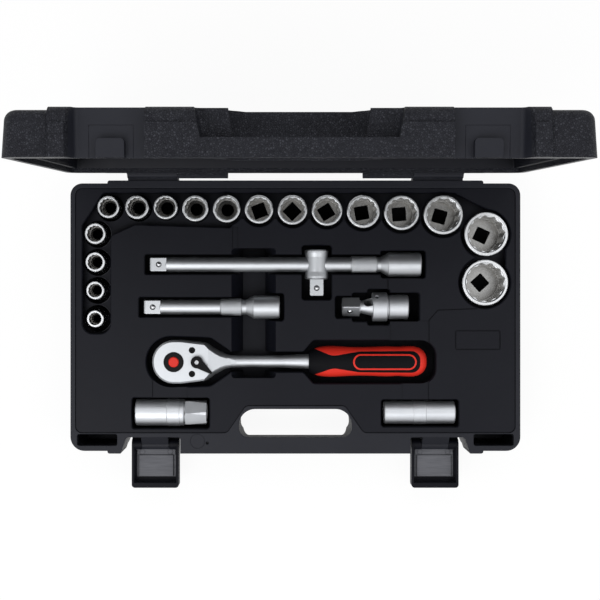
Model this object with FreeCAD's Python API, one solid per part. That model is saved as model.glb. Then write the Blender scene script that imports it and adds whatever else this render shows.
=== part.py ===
import FreeCAD
import Part
import math
import os

# A half-inch socket wrench set lying in its open, hinged carrying case.
# Millimetres. The case lies on the XY plane, its hinge towards +Y, its handle
# towards -Y, the lid standing open and every tool in its pocket.

# Case halves
RIM_Z = 48.0  # height of the base, up to the plane where the halves meet
LID_DEPTH = 33.0  # height of the lid above that plane when it is shut
WALL = 2.5  # moulded wall
BASE_DRAFT = 2.5  # how far the base walls lean in at the bottom
LID_DRAFT = 2.6  # how far the lid walls lean in at the outer face
BASE_EDGE_R = 6.0  # round of the bottom edge
LID_EDGE_R = 8.0  # round of the lid's outer edge
REAR_CORNER_R = 11.0
FRONT_CORNER_R = 13.0
RIM_W = 4.6  # flat rim around the tray and around the liner
LEDGE_W = 1.4  # shelf under the tray flange and under the liner flange
LEDGE_T = 3.0
FRONT_DECK = 16.7  # moulded deck between the tray and the front wall
FRONT_PAD = 2.5  # the middle of the front wall stands out by this
REAR_PAD = 2.7  # and the middle of the rear wall by this
PAD_CORNER = 34.0  # distance of the pad ends from the case sides
PAD_LIFT = 2.0  # the front of the lid is thicker by this
PAD_REACH = 40.0

# Hand-hole and handle bar
HOLE_W = 104.0
HOLE_D = 26.0
HOLE_INSET = 12.5  # width of the handle bar behind the front wall
HOLE_FRONT_R = 9.0
HOLE_REAR_R = 15.0
HOLE_COLLAR = 3.2  # deck left between hand-hole and tray
BAR_T_LID = 13.5
BAR_T_BASE = 17.0
SCOOP_W = 136.0  # finger room around the handle bar

# Tray
TRAY_T = 2.2
TRAY_DROP = 1.2  # tray face below the rim
POCKET_WALL = 1.6
POCKET_LIP = 0.8  # chamfer of the pocket edges
SEAT = 0.3  # play between a tool and the floor of its pocket
STRIP_D = 1.0  # shallow strips between the pockets
SEAM_D = 0.7  # thin grooves in the tray face
SEAM_W = 1.0
FINGER_W = 41.0
FINGER_FLOOR_W = 21.0
FINGER_FLOOR_Z = 26.0
LINER_T = 2.0
LINER_DROP = 4.0  # liner flange behind the lid's rim
LINER_DEPTH = 20.0  # bottom of the liner pan behind the lid's rim

# Hinges and latches
HINGE_AXIS_BACK = 6.4  # hinge axis behind the rear pads
HINGE_KNUCKLE_R = 4.5
HINGE_PIN_R = 2.0
HINGE_INNER_X = 62.0  # inner end of the lid knuckle
HINGE_KNUCKLE_L = 46.0
LID_OPEN = 86.5  # degrees from shut to resting on the heels
HEEL_L = 11.0
LATCH_X = 131.0
LATCH_W = 44.0
LATCH_L = 40.5  # from the pivot to the free end
LATCH_PIVOT_Z = 26.0
LATCH_PIVOT_R = 5.0
LATCH_PIN_R = 1.5
LATCH_SKIN = 2.2
LATCH_HOOK = 4.6
LATCH_DEPTH = 12.5
NOTCH_W = 50.0
NOTCH_D = 15.0
NOTCH_SLANT = 5.0
TONGUE_W = 25.0
CATCH_W = 20.0
CATCH_OUT = 6.2
FIT = 0.05  # radial play of every pin and shaft
GAP = 0.3  # play between pieces that pass each other

# Half-inch square drive, shared by every tool
DRIVE = 12.7
DRIVE_PLAY = 0.15
DRIVE_L = 15.0
BALL_R = 2.5
BALL_OUT = 0.9
DETENT_WALL = 0.6

# Twelve-point sockets: size across flats, outside diameter, length, turn in the pocket
SOCKETS = [
    (10, 15.5, 38.0, 4.0),
    (11, 16.5, 38.0, 11.0),
    (12, 17.8, 38.0, 19.0),
    (13, 18.9, 38.0, 8.0),
    (14, 20.0, 38.0, 3.0),
    (15, 21.5, 38.0, 14.0),
    (16, 22.0, 38.0, 9.0),
    (17, 24.0, 38.0, 21.0),
    (18, 25.0, 38.0, 6.0),
    (19, 26.0, 38.0, 20.0),
    (20, 27.0, 38.0, 44.0),
    (21, 28.0, 38.0, 31.0),
    (22, 30.0, 38.0, 10.0),
    (24, 32.0, 40.0, 4.0),
    (27, 36.0, 42.0, 74.0),
    (30, 40.0, 43.0, 65.0),
    (32, 42.0, 44.0, 42.0),
]
COLUMN_COUNT = 4  # the smallest sockets stand in a column at the left
CORNER_COUNT = 2  # the largest stand in a column at the right
DRIVE_END_D = 22.0
NOSE_L = 21.0  # slim end of the small sockets
SOCKET_TOP_Z = 50.0
SOCKET_EDGE = 0.6
SQUARE_SEEN = 18.5  # above this size the whole square drive shows in the mouth
SOCKET_PLAY = 0.6
SOCKET_ROOM = 3.0  # finger room around the tops
COLLAR_ROOM = 1.0  # room around the drive ends of the slim sockets
COLLAR_SEEN = 4.0
CHANNEL_Z = 36.0  # floor of the sunk channel around the sockets
COLUMN_INSET = 23.0
COLUMN_PITCH = 26.1
COLUMN_FIRST = 24.4  # from the first socket of the row to the column
ROW_START = 12.0
ROW_GAP = 4.3
ROW_INSET = 10.9
ROW_END = 71.0
CORNER_INSET = 11.5
CORNER_Y = 35.8  # first large socket behind the row's rear edge
CORNER_PITCH = 44.6

# Rows of lying tools, counted from the row of sockets to the front
ROW_TO_LONG = 27.6
LONG_TO_SHORT = 39.4
SHORT_TO_RATCHET = 50.5
RATCHET_TO_PLUG = 47.3
PLUG_TO_FRONT = 37.0

# Extension bars and the T-head that slides on the long one
BAR_Z = 40.0
BAR_R = 6.9
KNURL_R = 7.75
BAR_NECK = 6.0  # slope up to the socket end
BAR_SOCKET_L = 31.0
BAR_SOCKET_R = 11.2
SHORT_SOCKET_L = 25.0
SHORT_SOCKET_R = 10.6
LONG_L = 250.0
LONG_INSET = 73.0
LONG_KNURL_X = 185.0
LONG_KNURL_L = 25.0
SHORT_L = 125.0
SHORT_INSET = 67.5
SHORT_KNURL_X = 70.0
SHORT_KNURL_L = 20.5
BAR_POCKET_W = 18.5
SOCKET_POCKET_W = 25.5
T_HEAD_X = 153.7
T_HEAD_L = 27.6
T_HEAD_R = 10.8
T_WAIST = 0.6
T_POCKET_W = 27.7
T_PLAY = 0.15

# Universal joint
JOINT_GAP = 23.9
JOINT_Z = 36.5
YOKE_R = 13.5
CUP_R = 10.8  # bore of the cup that takes the round end of the drive yoke
YOKE_TIP = 3.7
YOKE_ROOT = 8.4
FORK_R = 10.4
FORK_TIP = 4.0
FORK_ROOT = 12.0  # end of the slot in the drive yoke
FORK_CONE_R = 8.6
FORK_NECK_R = 5.6
FORK_L = 16.6
YOKE_SOCKET_R = 11.4
YOKE_L = 29.4
BLOCK = 9.0
BLOCK_ROUND = 6.0
JOINT_PIN_R = 2.0

# Ratchet
RATCHET_INSET = 95.0
RATCHET_Z = 38.0
HEAD_R = 19.8
HEAD_T = 22.0
HEAD_EDGE = 1.6
SHOULDER_X = 30.0
SHOULDER_W = 34.0
NECK_X = 49.0
NECK_BLOOM = 24.0  # the neck grows by this from the round shaft to the flat head
SHAFT_R = 5.8
SHAFT_FLARE_R = 6.9
GRIP_X = 124.5
GRIP_L = 109.0
GRIP_W = 28.0
GRIP_T = 24.0
TANG_L = 70.0
INLAY_X = 4.5
INLAY_SWELL = 17.5  # from the pointed ends of the inlay to its widest place
INLAY_END = 6.6
INLAY_HALF = 10.1
INLAY_T = 2.0
BADGE_X = 40.5
BADGE_L = 58.5
BADGE_W = 14.8
BADGE_OUT = 0.5
GEAR_R = 13.2
GEAR_TEETH = 36
TOOTH = 1.0
GEAR_BOSS_R = 9.4
COVER_T = 2.3
COVER_INSET = 2.6
COLLAR_R = 9.0
COLLAR_T = 3.2
BUTTON_R = 4.7
BUTTON_OUT = 1.2
PLUNGER_R = 2.0
LEVER_X = 21.5
LEVER_HEAD_R = 5.5
LEVER_L = 16.2
LEVER_TIP_R = 1.2
LEVER_T = 4.0
LEVER_TURN = 36.8
LEVER_SHAFT_R = 2.8
LEVER_HUB_R = 1.85
SCREW_X = 16.9
SCREW_Y = 10.9
SCREW_HEAD_R = 2.9
SCREW_R = 1.6
PAWL_T = 9.0
PAWL_ROCK = 4.5

# Spark plug sockets
PLUG_INSET = 59.3
PLUG_L = 65.6
PLUG_HEX_L = 18.6
LARGE_PLUG_R = 12.4
LARGE_PLUG_HEX = 20.8
SMALL_PLUG_R = 10.7
SMALL_PLUG_HEX = 16.0
PLUG_Z = 37.5
PLUG_MOUTH = 26.0
PLUG_FLOOR = 3.0  # step between the bore and the square
PLUG_SLEEVE_L = 16.0
PLUG_SLEEVE_T = 1.6
PLUG_SLEEVE_ROOM = 4.6  # from the sleeve to the end of the bore
PLUG_BAND_X = 29.0
SMALL_BAND_X = 26.8
PLUG_BAND_L = 12.0
PLUG_BAND_OUT = 0.35

V = FreeCAD.Vector
X_AXIS = V(1, 0, 0)
Y_AXIS = V(0, 1, 0)
Z_AXIS = V(0, 0, 1)
ORIGIN = V(0, 0, 0)

os.makedirs("parts", exist_ok=True)


# Basic shapes


def unit(x, y):
    length = math.hypot(x, y)
    return x / length, y / length


def turn_at(corners, i):
    """Directions into and out of one corner of an outline."""
    before = corners[i - 1]
    here = corners[i]
    after = corners[(i + 1) % len(corners)]
    came = unit(here[0] - before[0], here[1] - before[1])
    goes = unit(after[0] - here[0], after[1] - here[1])
    return came, goes


def outline(corners, z=0.0):
    """Closed wire through corners (x, y, round), run anticlockwise."""
    edges = []
    ends = []
    for i, (x, y, r) in enumerate(corners):
        came, goes = turn_at(corners, i)
        half = math.acos(max(-1.0, min(1.0, came[0] * goes[0] + came[1] * goes[1]))) / 2
        if r <= 0 or half < 0.001:
            ends.append((V(x, y, z), None, V(x, y, z)))
            continue
        back = r * math.tan(half)
        bx, by = unit(goes[0] - came[0], goes[1] - came[1])
        out = r / math.cos(half) - r
        ends.append(
            (
                V(x - came[0] * back, y - came[1] * back, z),
                V(x + bx * out, y + by * out, z),
                V(x + goes[0] * back, y + goes[1] * back, z),
            )
        )
    for i, (start, middle, end) in enumerate(ends):
        if middle is not None:
            edges.append(Part.Arc(start, middle, end).toShape())
        following = ends[(i + 1) % len(ends)][0]
        if (following - end).Length > 0.0001:
            edges.append(Part.makeLine(end, following))
    return Part.Wire(edges)


def grow(corners, by):
    """The same outline moved outwards; a negative value moves it inwards."""
    moved = []
    for i, (x, y, r) in enumerate(corners):
        came, goes = turn_at(corners, i)
        share = by / (1 + came[0] * goes[0] + came[1] * goes[1])
        outside_turn = came[0] * goes[1] - came[1] * goes[0] > 0
        if r > 0:
            r = max(0.2, r + by if outside_turn else r - by)
        moved.append(
            (x + share * (came[1] + goes[1]), y - share * (came[0] + goes[0]), r)
        )
    return moved


def mirrored(half):
    """An outline from its right half, run from the front centre to the rear."""
    return half + [(-x, y, r) for x, y, r in reversed(half)]


def box_outline(x0, x1, y0, y1, r):
    return [(x0, y0, r), (x1, y0, r), (x1, y1, r), (x0, y1, r)]


def prism(corners, z0, z1):
    return Part.Face(outline(corners, z0)).extrude(V(0, 0, z1 - z0))


def taper(low, z0, high, z1):
    return Part.makeLoft([outline(low, z0), outline(high, z1)], True, True)


def disc(x, y, r, z0, z1):
    return Part.makeCylinder(r, z1 - z0, V(x, y, z0))


def block(x0, x1, y0, y1, z0, z1):
    return Part.makeBox(x1 - x0, y1 - y0, z1 - z0, V(x0, y0, z0))


def turned(profile):
    """Solid of revolution about Z from (radius, height) points."""
    points = [V(r, 0, z) for r, z in profile]
    return Part.Face(Part.makePolygon(points + points[:1])).revolve(ORIGIN, Z_AXIS, 360)


def side_prism(points, x0, x1):
    """A (y, z) polygon drawn out along X."""
    corners = [V(x0, y, z) for y, z in points]
    face = Part.Face(Part.makePolygon(corners + corners[:1]))
    return face.extrude(V(x1 - x0, 0, 0))


def fused(pieces):
    return pieces[0].multiFuse(pieces[1:]).removeSplitter()


def less(body, cutters):
    return body.cut(cutters).removeSplitter()


def laid(shape, x, y, z):
    """A tool made along +Z, laid down to point along +X."""
    copy = shape.copy()
    copy.rotate(ORIGIN, Y_AXIS, 90)
    copy.translate(V(x, y, z))
    return copy


def square(across):
    half = across / 2
    return box_outline(-half, half, -half, half, 0.7)


def hexagon(across, turn=0.0):
    reach = across / math.sqrt(3)
    angles = [math.radians(60 * k + turn) for k in range(6)]
    return [(reach * math.cos(a), reach * math.sin(a), 0) for a in angles]


def twelve_point(across):
    """Two hexagons, one turned by thirty degrees."""
    tip = across / math.sqrt(3)
    root = across / 2 / math.cos(math.radians(15))
    points = []
    for k in range(24):
        reach = tip if k % 2 == 0 else root
        a = math.radians(15 * k)
        points.append((reach * math.cos(a), reach * math.sin(a), 0))
    return points


def drive_tip(z0, z1):
    """Square drive from z0 towards z1, its end slightly pointed."""
    lead = 1.2 if z1 > z0 else -1.2
    full = square(DRIVE)
    return fused(
        [
            prism(full, z0, z1 - lead),
            taper(full, z1 - lead, grow(full, -0.6), z1),
        ]
    )


def drive_hole(z0, z1):
    return prism(square(DRIVE + 2 * DRIVE_PLAY), z0, z1)


BALL_OFF = DRIVE / 2 + BALL_OUT - BALL_R  # ball centre from the drive's middle
DETENT_BOTTOM = -2.0


def detent_hole(z):
    """Blind hole across the square drive for ball and spring, opening to +X."""
    r = BALL_R + 2 * FIT
    return Part.makeCylinder(r, DRIVE - DETENT_BOTTOM, V(DETENT_BOTTOM, 0, z), X_AXIS)


def detent_ball(z):
    return Part.makeSphere(BALL_R, V(BALL_OFF, 0, z))


def detent_spring(z):
    """Coil spring behind the ball, kept as a plain sleeve."""
    r = BALL_R - 2 * FIT
    length = BALL_OFF - BALL_R - DETENT_BOTTOM
    at = V(DETENT_BOTTOM, 0, z)
    outer = Part.makeCylinder(r, length, at, X_AXIS)
    return outer.cut(Part.makeCylinder(r - DETENT_WALL, length, at, X_AXIS))


# Layout of the tray, worked out from the tools


def half_wide(socket):
    return max(socket[1], DRIVE_END_D) / 2


COLUMN = SOCKETS[:COLUMN_COUNT]
ROW = SOCKETS[COLUMN_COUNT : len(SOCKETS) - CORNER_COUNT]
CORNER = SOCKETS[len(SOCKETS) - CORNER_COUNT :]

row_x = [0.0]
for left, right in zip(ROW, ROW[1:]):
    row_x.append(row_x[-1] + half_wide(left) + half_wide(right) + ROW_GAP)
CASE_W = COLUMN_INSET + ROW_START + row_x[-1] + ROW_END
HALF_W = CASE_W / 2
COLUMN_X = COLUMN_INSET - HALF_W
row_x = [COLUMN_X + ROW_START + x for x in row_x]

row_depth = max(s[1] for s in ROW)
CASE_D = (
    ROW_INSET
    + row_depth
    + ROW_TO_LONG
    + LONG_TO_SHORT
    + SHORT_TO_RATCHET
    + RATCHET_TO_PLUG
    + PLUG_TO_FRONT
)
REAR_Y = CASE_D / 2
FRONT_Y = -CASE_D / 2  # face of the front pad
CORNER_FRONT_Y = FRONT_Y + FRONT_PAD
PAD_REAR_Y = REAR_Y + REAR_PAD
ROW_EDGE_Y = REAR_Y - ROW_INSET
LONG_Y = ROW_EDGE_Y - row_depth - ROW_TO_LONG
SHORT_Y = LONG_Y - LONG_TO_SHORT
RATCHET_Y = SHORT_Y - SHORT_TO_RATCHET
PLUG_Y = RATCHET_Y - RATCHET_TO_PLUG
LONG_X = LONG_INSET - HALF_W
SHORT_X = SHORT_INSET - HALF_W
T_X = LONG_X + T_HEAD_X
JOINT_X = T_X + JOINT_GAP + DRIVE_L + FORK_L  # middle of the universal joint
RATCHET_X = RATCHET_INSET - HALF_W
LARGE_PLUG_X = PLUG_INSET - HALF_W
SMALL_PLUG_X = HALF_W - PLUG_INSET - PLUG_L

places = []
column_top = ROW_EDGE_Y - half_wide(ROW[0]) - COLUMN_FIRST
for i, s in enumerate(reversed(COLUMN)):
    places.insert(0, (COLUMN_X, column_top - i * COLUMN_PITCH))
for x, s in zip(row_x, ROW):
    places.append((x, ROW_EDGE_Y - half_wide(s)))
for i, s in enumerate(CORNER):
    x = HALF_W - CORNER_INSET - half_wide(s)
    places.append((x, ROW_EDGE_Y - CORNER_Y - i * CORNER_PITCH))

HINGE_Y = PAD_REAR_Y + HINGE_AXIS_BACK
NOTCH_Y = FRONT_Y + NOTCH_D
LATCH_Y = NOTCH_Y - LATCH_DEPTH * 0.73
TRAY_Z = RIM_Z - TRAY_DROP
DECK_Z = TRAY_Z - TRAY_T - LEDGE_T

# Outlines of the case, seen from above


case_outline = mirrored(
    [
        (HALF_W, CORNER_FRONT_Y, FRONT_CORNER_R),
        (HALF_W, REAR_Y, REAR_CORNER_R),
    ]
)

hole_front = FRONT_Y + HOLE_INSET + 2.5
hole_rear = hole_front + HOLE_D
hand_hole = mirrored(
    [
        (HOLE_W / 2, hole_front, HOLE_FRONT_R),
        (HOLE_W / 2, hole_rear, HOLE_REAR_R),
    ]
)

deck_y = CORNER_FRONT_Y + FRONT_DECK
collar_y = hole_rear + HOLE_COLLAR
tray_outline = mirrored(
    [
        (HOLE_W / 2 - 0.42 * HOLE_REAR_R, collar_y, 6.0),
        (HOLE_W / 2 + 11.0, deck_y, 6.0),
        (HALF_W - RIM_W, deck_y, 6.0),
        (HALF_W - RIM_W, REAR_Y - RIM_W, REAR_CORNER_R - RIM_W),
    ]
)


def notch(side, z0, z1, by=0.0):
    """Latch recess in the front wall, its outer flank slanted."""
    inner = LATCH_X - NOTCH_W / 2
    outer = LATCH_X + NOTCH_W / 2
    corners = [
        (inner, FRONT_Y - 9.0, 0),
        (outer + NOTCH_SLANT * 1.6, FRONT_Y - 9.0, 0),
        (outer, NOTCH_Y, 4.0),
        (inner, NOTCH_Y, 2.0),
    ]
    if side < 0:
        corners = [(-x, y, r) for x, y, r in reversed(corners)]
    return prism(grow(corners, by), z0, z1)


def pads(z0, z1):
    """The middle of the front and rear walls, standing slightly out."""
    reach = HALF_W - PAD_CORNER
    front = box_outline(-reach, reach, FRONT_Y, FRONT_Y + 12.0, 2.0)
    rear = box_outline(-reach, reach, REAR_Y - 12.0, PAD_REAR_Y, 2.0)
    return [prism(front, z0, z1), prism(rear, z0, z1)]


def scoop(z_bar, z_far, by=0.0):
    """Room for the fingers around the handle bar, widening outwards."""
    half = SCOOP_W / 2
    near = box_outline(-half, half, FRONT_Y - 9.0, hole_front, 4.0)
    far = box_outline(-half - 5.0, half + 5.0, FRONT_Y - 9.0, hole_front + 3.0, 4.0)
    if z_far > z_bar:
        return taper(grow(near, by), z_bar - by, grow(far, by), z_far)
    return taper(grow(far, by), z_far, grow(near, by), z_bar + by)


def both(function, *values):
    return [function(-1, *values), function(1, *values)]


def about_hinge(shape, degrees):
    copy = shape.copy()
    copy.rotate(V(0, HINGE_Y, RIM_Z), X_AXIS, -degrees)
    return copy


def about_latch(shape, degrees):
    copy = shape.copy()
    copy.rotate(V(0, LATCH_Y, LATCH_PIVOT_Z), X_AXIS, degrees)
    return copy


def along_x(side, near, far):
    """A stretch of X on the left or on the right of the case."""
    return (near, far) if side > 0 else (-far, -near)


def hinge_barrel(side, near, far, r):
    x0, x1 = along_x(side, near, far)
    return Part.makeCylinder(r, x1 - x0, V(x0, HINGE_Y, RIM_Z), X_AXIS)


# Base shell


hinge_split = HINGE_INNER_X + HINGE_KNUCKLE_L
hinge_outer = hinge_split + GAP + HINGE_KNUCKLE_L


def base_knuckle(side):
    """Hinge knuckle with the arm to the rear wall and the heel that stops the lid."""
    x0, x1 = along_x(side, hinge_split + GAP, hinge_outer)
    arm = [
        (PAD_REAR_Y - 2.0, RIM_Z - 18.0),
        (PAD_REAR_Y + 1.0, RIM_Z - 18.0),
        (HINGE_Y + 3.0, RIM_Z - 3.4),
        (HINGE_Y, RIM_Z),
        (HINGE_Y - 3.0, RIM_Z - 1.5),
        (PAD_REAR_Y - 2.0, RIM_Z - 1.5),
    ]
    front = PAD_REAR_Y + GAP / 3
    heel = [
        (front, RIM_Z - 1.0),
        (HINGE_Y - 0.5, RIM_Z - 1.0),
        (HINGE_Y - 2.0, RIM_Z + HEEL_L),
        (front, RIM_Z + HEEL_L),
    ]
    return [
        hinge_barrel(side, hinge_split + GAP, hinge_outer, HINGE_KNUCKLE_R),
        side_prism(arm, x0, x1),
        about_hinge(side_prism(heel, x0, x1), LID_OPEN),
    ]


def latch_tongue(side):
    """Tongue in the notch that carries the latch pivot."""
    x0 = side * LATCH_X - TONGUE_W / 2
    x1 = side * LATCH_X + TONGUE_W / 2
    root = NOTCH_Y + 1.0
    arm = [
        (root, LATCH_PIVOT_Z - 8.0),
        (LATCH_Y, LATCH_PIVOT_Z - LATCH_PIVOT_R),
        (LATCH_Y, LATCH_PIVOT_Z + LATCH_PIVOT_R),
        (root, LATCH_PIVOT_Z + 14.0),
    ]
    barrel = Part.makeCylinder(
        LATCH_PIVOT_R, TONGUE_W, V(x0, LATCH_Y, LATCH_PIVOT_Z), X_AXIS
    )
    return [side_prism(arm, x0, x1), barrel]


def latch_bore(side, r, reach):
    x = side * LATCH_X - reach
    return Part.makeCylinder(r, 2 * reach, V(x, LATCH_Y, LATCH_PIVOT_Z), X_AXIS)


def corner_slot(side, z0, z1):
    """Long pocket in the deck beside each latch."""
    x0, x1 = along_x(side, HALF_W - 43.0, HALF_W - 6.0)
    y0 = deck_y - 12.0
    return prism(box_outline(x0, x1, y0, deck_y - 1.2, 2.0), z0, z1)


def rounded_half(low_inset, height, edge_r):
    """Case half, open side up at the given height, leaning in towards z = 0."""
    body = taper(grow(case_outline, -low_inset), 0, case_outline, height)
    rim = [e for e in body.Edges if e.BoundBox.ZMax < 0.01]
    return body.makeFillet(edge_r, rim)


base_body = less(
    fused([rounded_half(BASE_DRAFT, RIM_Z, BASE_EDGE_R)] + pads(9.0, RIM_Z)),
    both(notch, -1.0, RIM_Z + 1.0) + [scoop(RIM_Z - BAR_T_BASE, -1.0)],
)
base_hollow = less(
    taper(
        grow(case_outline, -BASE_DRAFT - WALL),
        WALL,
        grow(case_outline, -WALL),
        DECK_Z,
    ),
    both(notch, 0.0, RIM_Z, WALL)
    + [scoop(RIM_Z - BAR_T_BASE, -1.0, WALL), prism(grow(hand_hole, WALL), 0, RIM_Z)],
)
base_shell = fused(
    [base_body.cut(base_hollow)]
    + [piece for side in (-1, 1) for piece in base_knuckle(side) + latch_tongue(side)]
)
base_shell = less(
    base_shell,
    [
        prism(grow(tray_outline, GAP), TRAY_Z - TRAY_T, RIM_Z + 1.0),
        prism(grow(tray_outline, -LEDGE_W), DECK_Z - 1.0, RIM_Z),
        prism(hand_hole, -1.0, RIM_Z + 1.0),
        disc(-HALF_W + 126.0, FRONT_Y + 9.8, 1.4, RIM_Z - 3.0, RIM_Z + 1.0),
    ]
    + both(corner_slot, DECK_Z - 1.0, RIM_Z + 1.0)
    + [latch_bore(side, LATCH_PIN_R + FIT, LATCH_W) for side in (-1, 1)]
    + [
        hinge_barrel(side, hinge_split - 1.0, hinge_outer + 1.0, HINGE_PIN_R + FIT)
        for side in (-1, 1)
    ],
)

hinge_pins = Part.makeCompound(
    [
        hinge_barrel(side, HINGE_INNER_X + 1.0, hinge_outer - 1.0, HINGE_PIN_R)
        for side in (-1, 1)
    ]
)
latch_pins = Part.makeCompound(
    [latch_bore(side, LATCH_PIN_R, LATCH_W / 2 - 1.0) for side in (-1, 1)]
)

# Tool tray: a plate with thin-walled pockets hanging from it


tray_shells = [prism(grow(tray_outline, -GAP / 3), TRAY_Z - TRAY_T, TRAY_Z)]
tray_cuts = []


def pocket(corners, floor):
    """Pocket with a chamfered lip, and the thin wall around it."""
    low = floor - POCKET_WALL
    tray_shells.append(prism(grow(corners, POCKET_WALL), low, TRAY_Z - TRAY_T / 2))
    tray_cuts.append(prism(corners, floor, TRAY_Z + 1.0))
    lip = grow(corners, POCKET_LIP + 0.05)
    tray_cuts.append(taper(corners, TRAY_Z - POCKET_LIP, lip, TRAY_Z + 0.05))


def round_pocket(x, y, r, floor, top):
    low = floor - POCKET_WALL
    tray_shells.append(disc(x, y, r + POCKET_WALL, low, top))
    tray_cuts.append(disc(x, y, r, floor, top + 1.0))


def lip_round(x, y, r):
    """Wide round mouth of a pocket, down to the sunk channel."""
    round_pocket(x, y, r, CHANNEL_Z, TRAY_Z - TRAY_T / 2)
    tray_cuts.append(
        Part.makeCone(
            r,
            r + POCKET_LIP + 0.05,
            POCKET_LIP + 0.05,
            V(x, y, TRAY_Z - POCKET_LIP),
        )
    )


first_x, first_y = places[COLUMN_COUNT]
last_x, last_y = places[COLUMN_COUNT + len(ROW) - 1]
channel_top = ROW_EDGE_Y + 2.5
column_end = places[0][1] - 14.0
diagonal_y = places[COLUMN_COUNT - 1][1] + 8.0
step_x = places[COLUMN_COUNT + 4][0] + 5.0
pocket(
    [
        (COLUMN_X - 12.5, column_end, 10.0),
        (COLUMN_X + 13.5, column_end, 10.0),
        (COLUMN_X + 13.5, diagonal_y - 10.0, 4.0),
        (first_x + 24.0, first_y - 16.0, 5.0),
        (step_x, first_y - 19.0, 3.0),
        (step_x, last_y - 3.0, 2.0),
        (last_x, last_y - 3.0, 2.0),
        (last_x, channel_top, 2.0),
        (first_x - 5.0, channel_top, 5.0),
        (COLUMN_X - 12.5, diagonal_y, 6.0),
    ],
    CHANNEL_Z,
)
big_x, big_y = places[-2]
end_x, end_y = places[-1]
pocket(
    [
        (last_x - 4.0, last_y - 4.0, 2.0),
        (big_x - 9.0, big_y, 2.0),
        (end_x - 9.0, end_y, 2.0),
        (end_x + half_wide(CORNER[1]) - 2.0, end_y, 2.0),
        (big_x + half_wide(CORNER[0]) - 1.0, big_y + 14.0, 5.0),
        (last_x + 11.0, channel_top, 5.0),
        (last_x - 4.0, channel_top, 2.0),
    ],
    CHANNEL_Z,
)
for i, (s, (x, y)) in enumerate(zip(SOCKETS, places)):
    r = half_wide(s) + SOCKET_PLAY
    round_pocket(x, y, r, SOCKET_TOP_Z - s[2] - SEAT, CHANNEL_Z)
    if s[1] < DRIVE_END_D:
        collar_z = SOCKET_TOP_Z - NOSE_L - COLLAR_SEEN
        round_pocket(x, y, r + COLLAR_ROOM, collar_z, CHANNEL_Z)
    if i >= COLUMN_COUNT + 4:
        lip_round(x, y, r + SOCKET_ROOM - SOCKET_PLAY)

bar_half = BAR_POCKET_W / 2
end_half = SOCKET_POCKET_W / 2


def bar_pocket(x, y, length, socket_l, socket_r):
    """Narrow trough for the bar, wide one for its socket end."""
    step = x + length - socket_l - BAR_NECK - 0.5
    pocket(
        box_outline(x - 5.0, step + 1.0, y - bar_half, y + bar_half, 2.0),
        BAR_Z - KNURL_R - SEAT,
    )
    pocket(
        box_outline(step, x + length + 4.0, y - end_half, y + end_half, 2.5),
        BAR_Z - socket_r - SEAT,
    )


bar_pocket(LONG_X, LONG_Y, LONG_L, BAR_SOCKET_L, BAR_SOCKET_R)
bar_pocket(SHORT_X, SHORT_Y, SHORT_L, SHORT_SOCKET_L, SHORT_SOCKET_R)
t_half = T_POCKET_W / 2
t_floor = BAR_Z - T_HEAD_R - SEAT
t_low = LONG_Y - T_HEAD_L / 2 - DRIVE_L - 4.0
pocket(box_outline(T_X - t_half, T_X + t_half, t_low, LONG_Y + 17.7, 3.0), t_floor)
for reach, left, half, r in (
    (DRIVE_L + FORK_L + 7.0, -FORK_L - 5.5, 10.4, DRIVE / math.sqrt(2)),
    (FORK_L + 6.5, YOKE_L + 10.0, 13.4, YOKE_SOCKET_R),
    (YOKE_TIP + 5.3, YOKE_ROOT + 3.7, 16.8, YOKE_R),
):
    pocket(
        box_outline(JOINT_X - reach, JOINT_X + left, SHORT_Y - half, SHORT_Y + half, 2.5),
        JOINT_Z - r - SEAT,
    )


def at_ratchet(corners):
    return [(RATCHET_X + x, RATCHET_Y + y, r) for x, y, r in corners]


def upper_and_lower(upper):
    """A tool outline from its rear edge, run from the free end to the left."""
    return [(x, -y, r) for x, y, r in reversed(upper)] + upper


head_half = HEAD_R + 4.6
grip_half = GRIP_W / 2 + 6.0
pocket(
    at_ratchet(
        upper_and_lower(
            [
                (NECK_X + 4.0, 9.5, 4.0),
                (SHOULDER_X + 4.0, head_half - 2.0, 8.0),
                (-HEAD_R - 6.0, head_half, head_half - 1.0),
            ]
        )
    ),
    RATCHET_Z - HEAD_T / 2 - SEAT,
)
pocket(
    at_ratchet(
        upper_and_lower(
            [
                (GRIP_X + GRIP_L + 8.0, grip_half, 14.0),
                (GRIP_X + 4.0, grip_half, 5.0),
                (GRIP_X - 5.0, 9.5, 4.0),
                (NECK_X + 2.0, 9.5, 0),
            ]
        )
    ),
    RATCHET_Z - GRIP_T / 2 - SEAT,
)
drive_floor = RATCHET_Z - HEAD_T / 2 - DRIVE_L - 2.5
round_pocket(RATCHET_X, RATCHET_Y, 11.0, drive_floor, RATCHET_Z - HEAD_T / 2 - SEAT)
for x, r in ((LARGE_PLUG_X, LARGE_PLUG_R), (SMALL_PLUG_X, SMALL_PLUG_R)):
    half = r + 2.0
    pocket(
        box_outline(x - 3.0, x + PLUG_L + 3.0, PLUG_Y - half, PLUG_Y + half, 2.5),
        PLUG_Z - r - PLUG_BAND_OUT - SEAT,
    )

# Finger channel across the bars and the ratchet shaft, with sloping walls
finger_x = LONG_X + 95.5
finger_y0 = RATCHET_Y - 15.0
finger_y1 = LONG_Y + 15.0


def finger(width, by):
    half = width / 2 + by
    return box_outline(finger_x - half, finger_x + half, finger_y0 - by, finger_y1 + by, 3.0)


tray_shells.append(
    taper(
        finger(FINGER_FLOOR_W, POCKET_WALL),
        FINGER_FLOOR_Z - POCKET_WALL,
        finger(FINGER_W, POCKET_WALL),
        TRAY_Z - TRAY_T / 2,
    )
)
tray_cuts.append(
    taper(finger(FINGER_FLOOR_W, 0), FINGER_FLOOR_Z, finger(FINGER_W, 0), TRAY_Z + 0.05)
)

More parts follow.
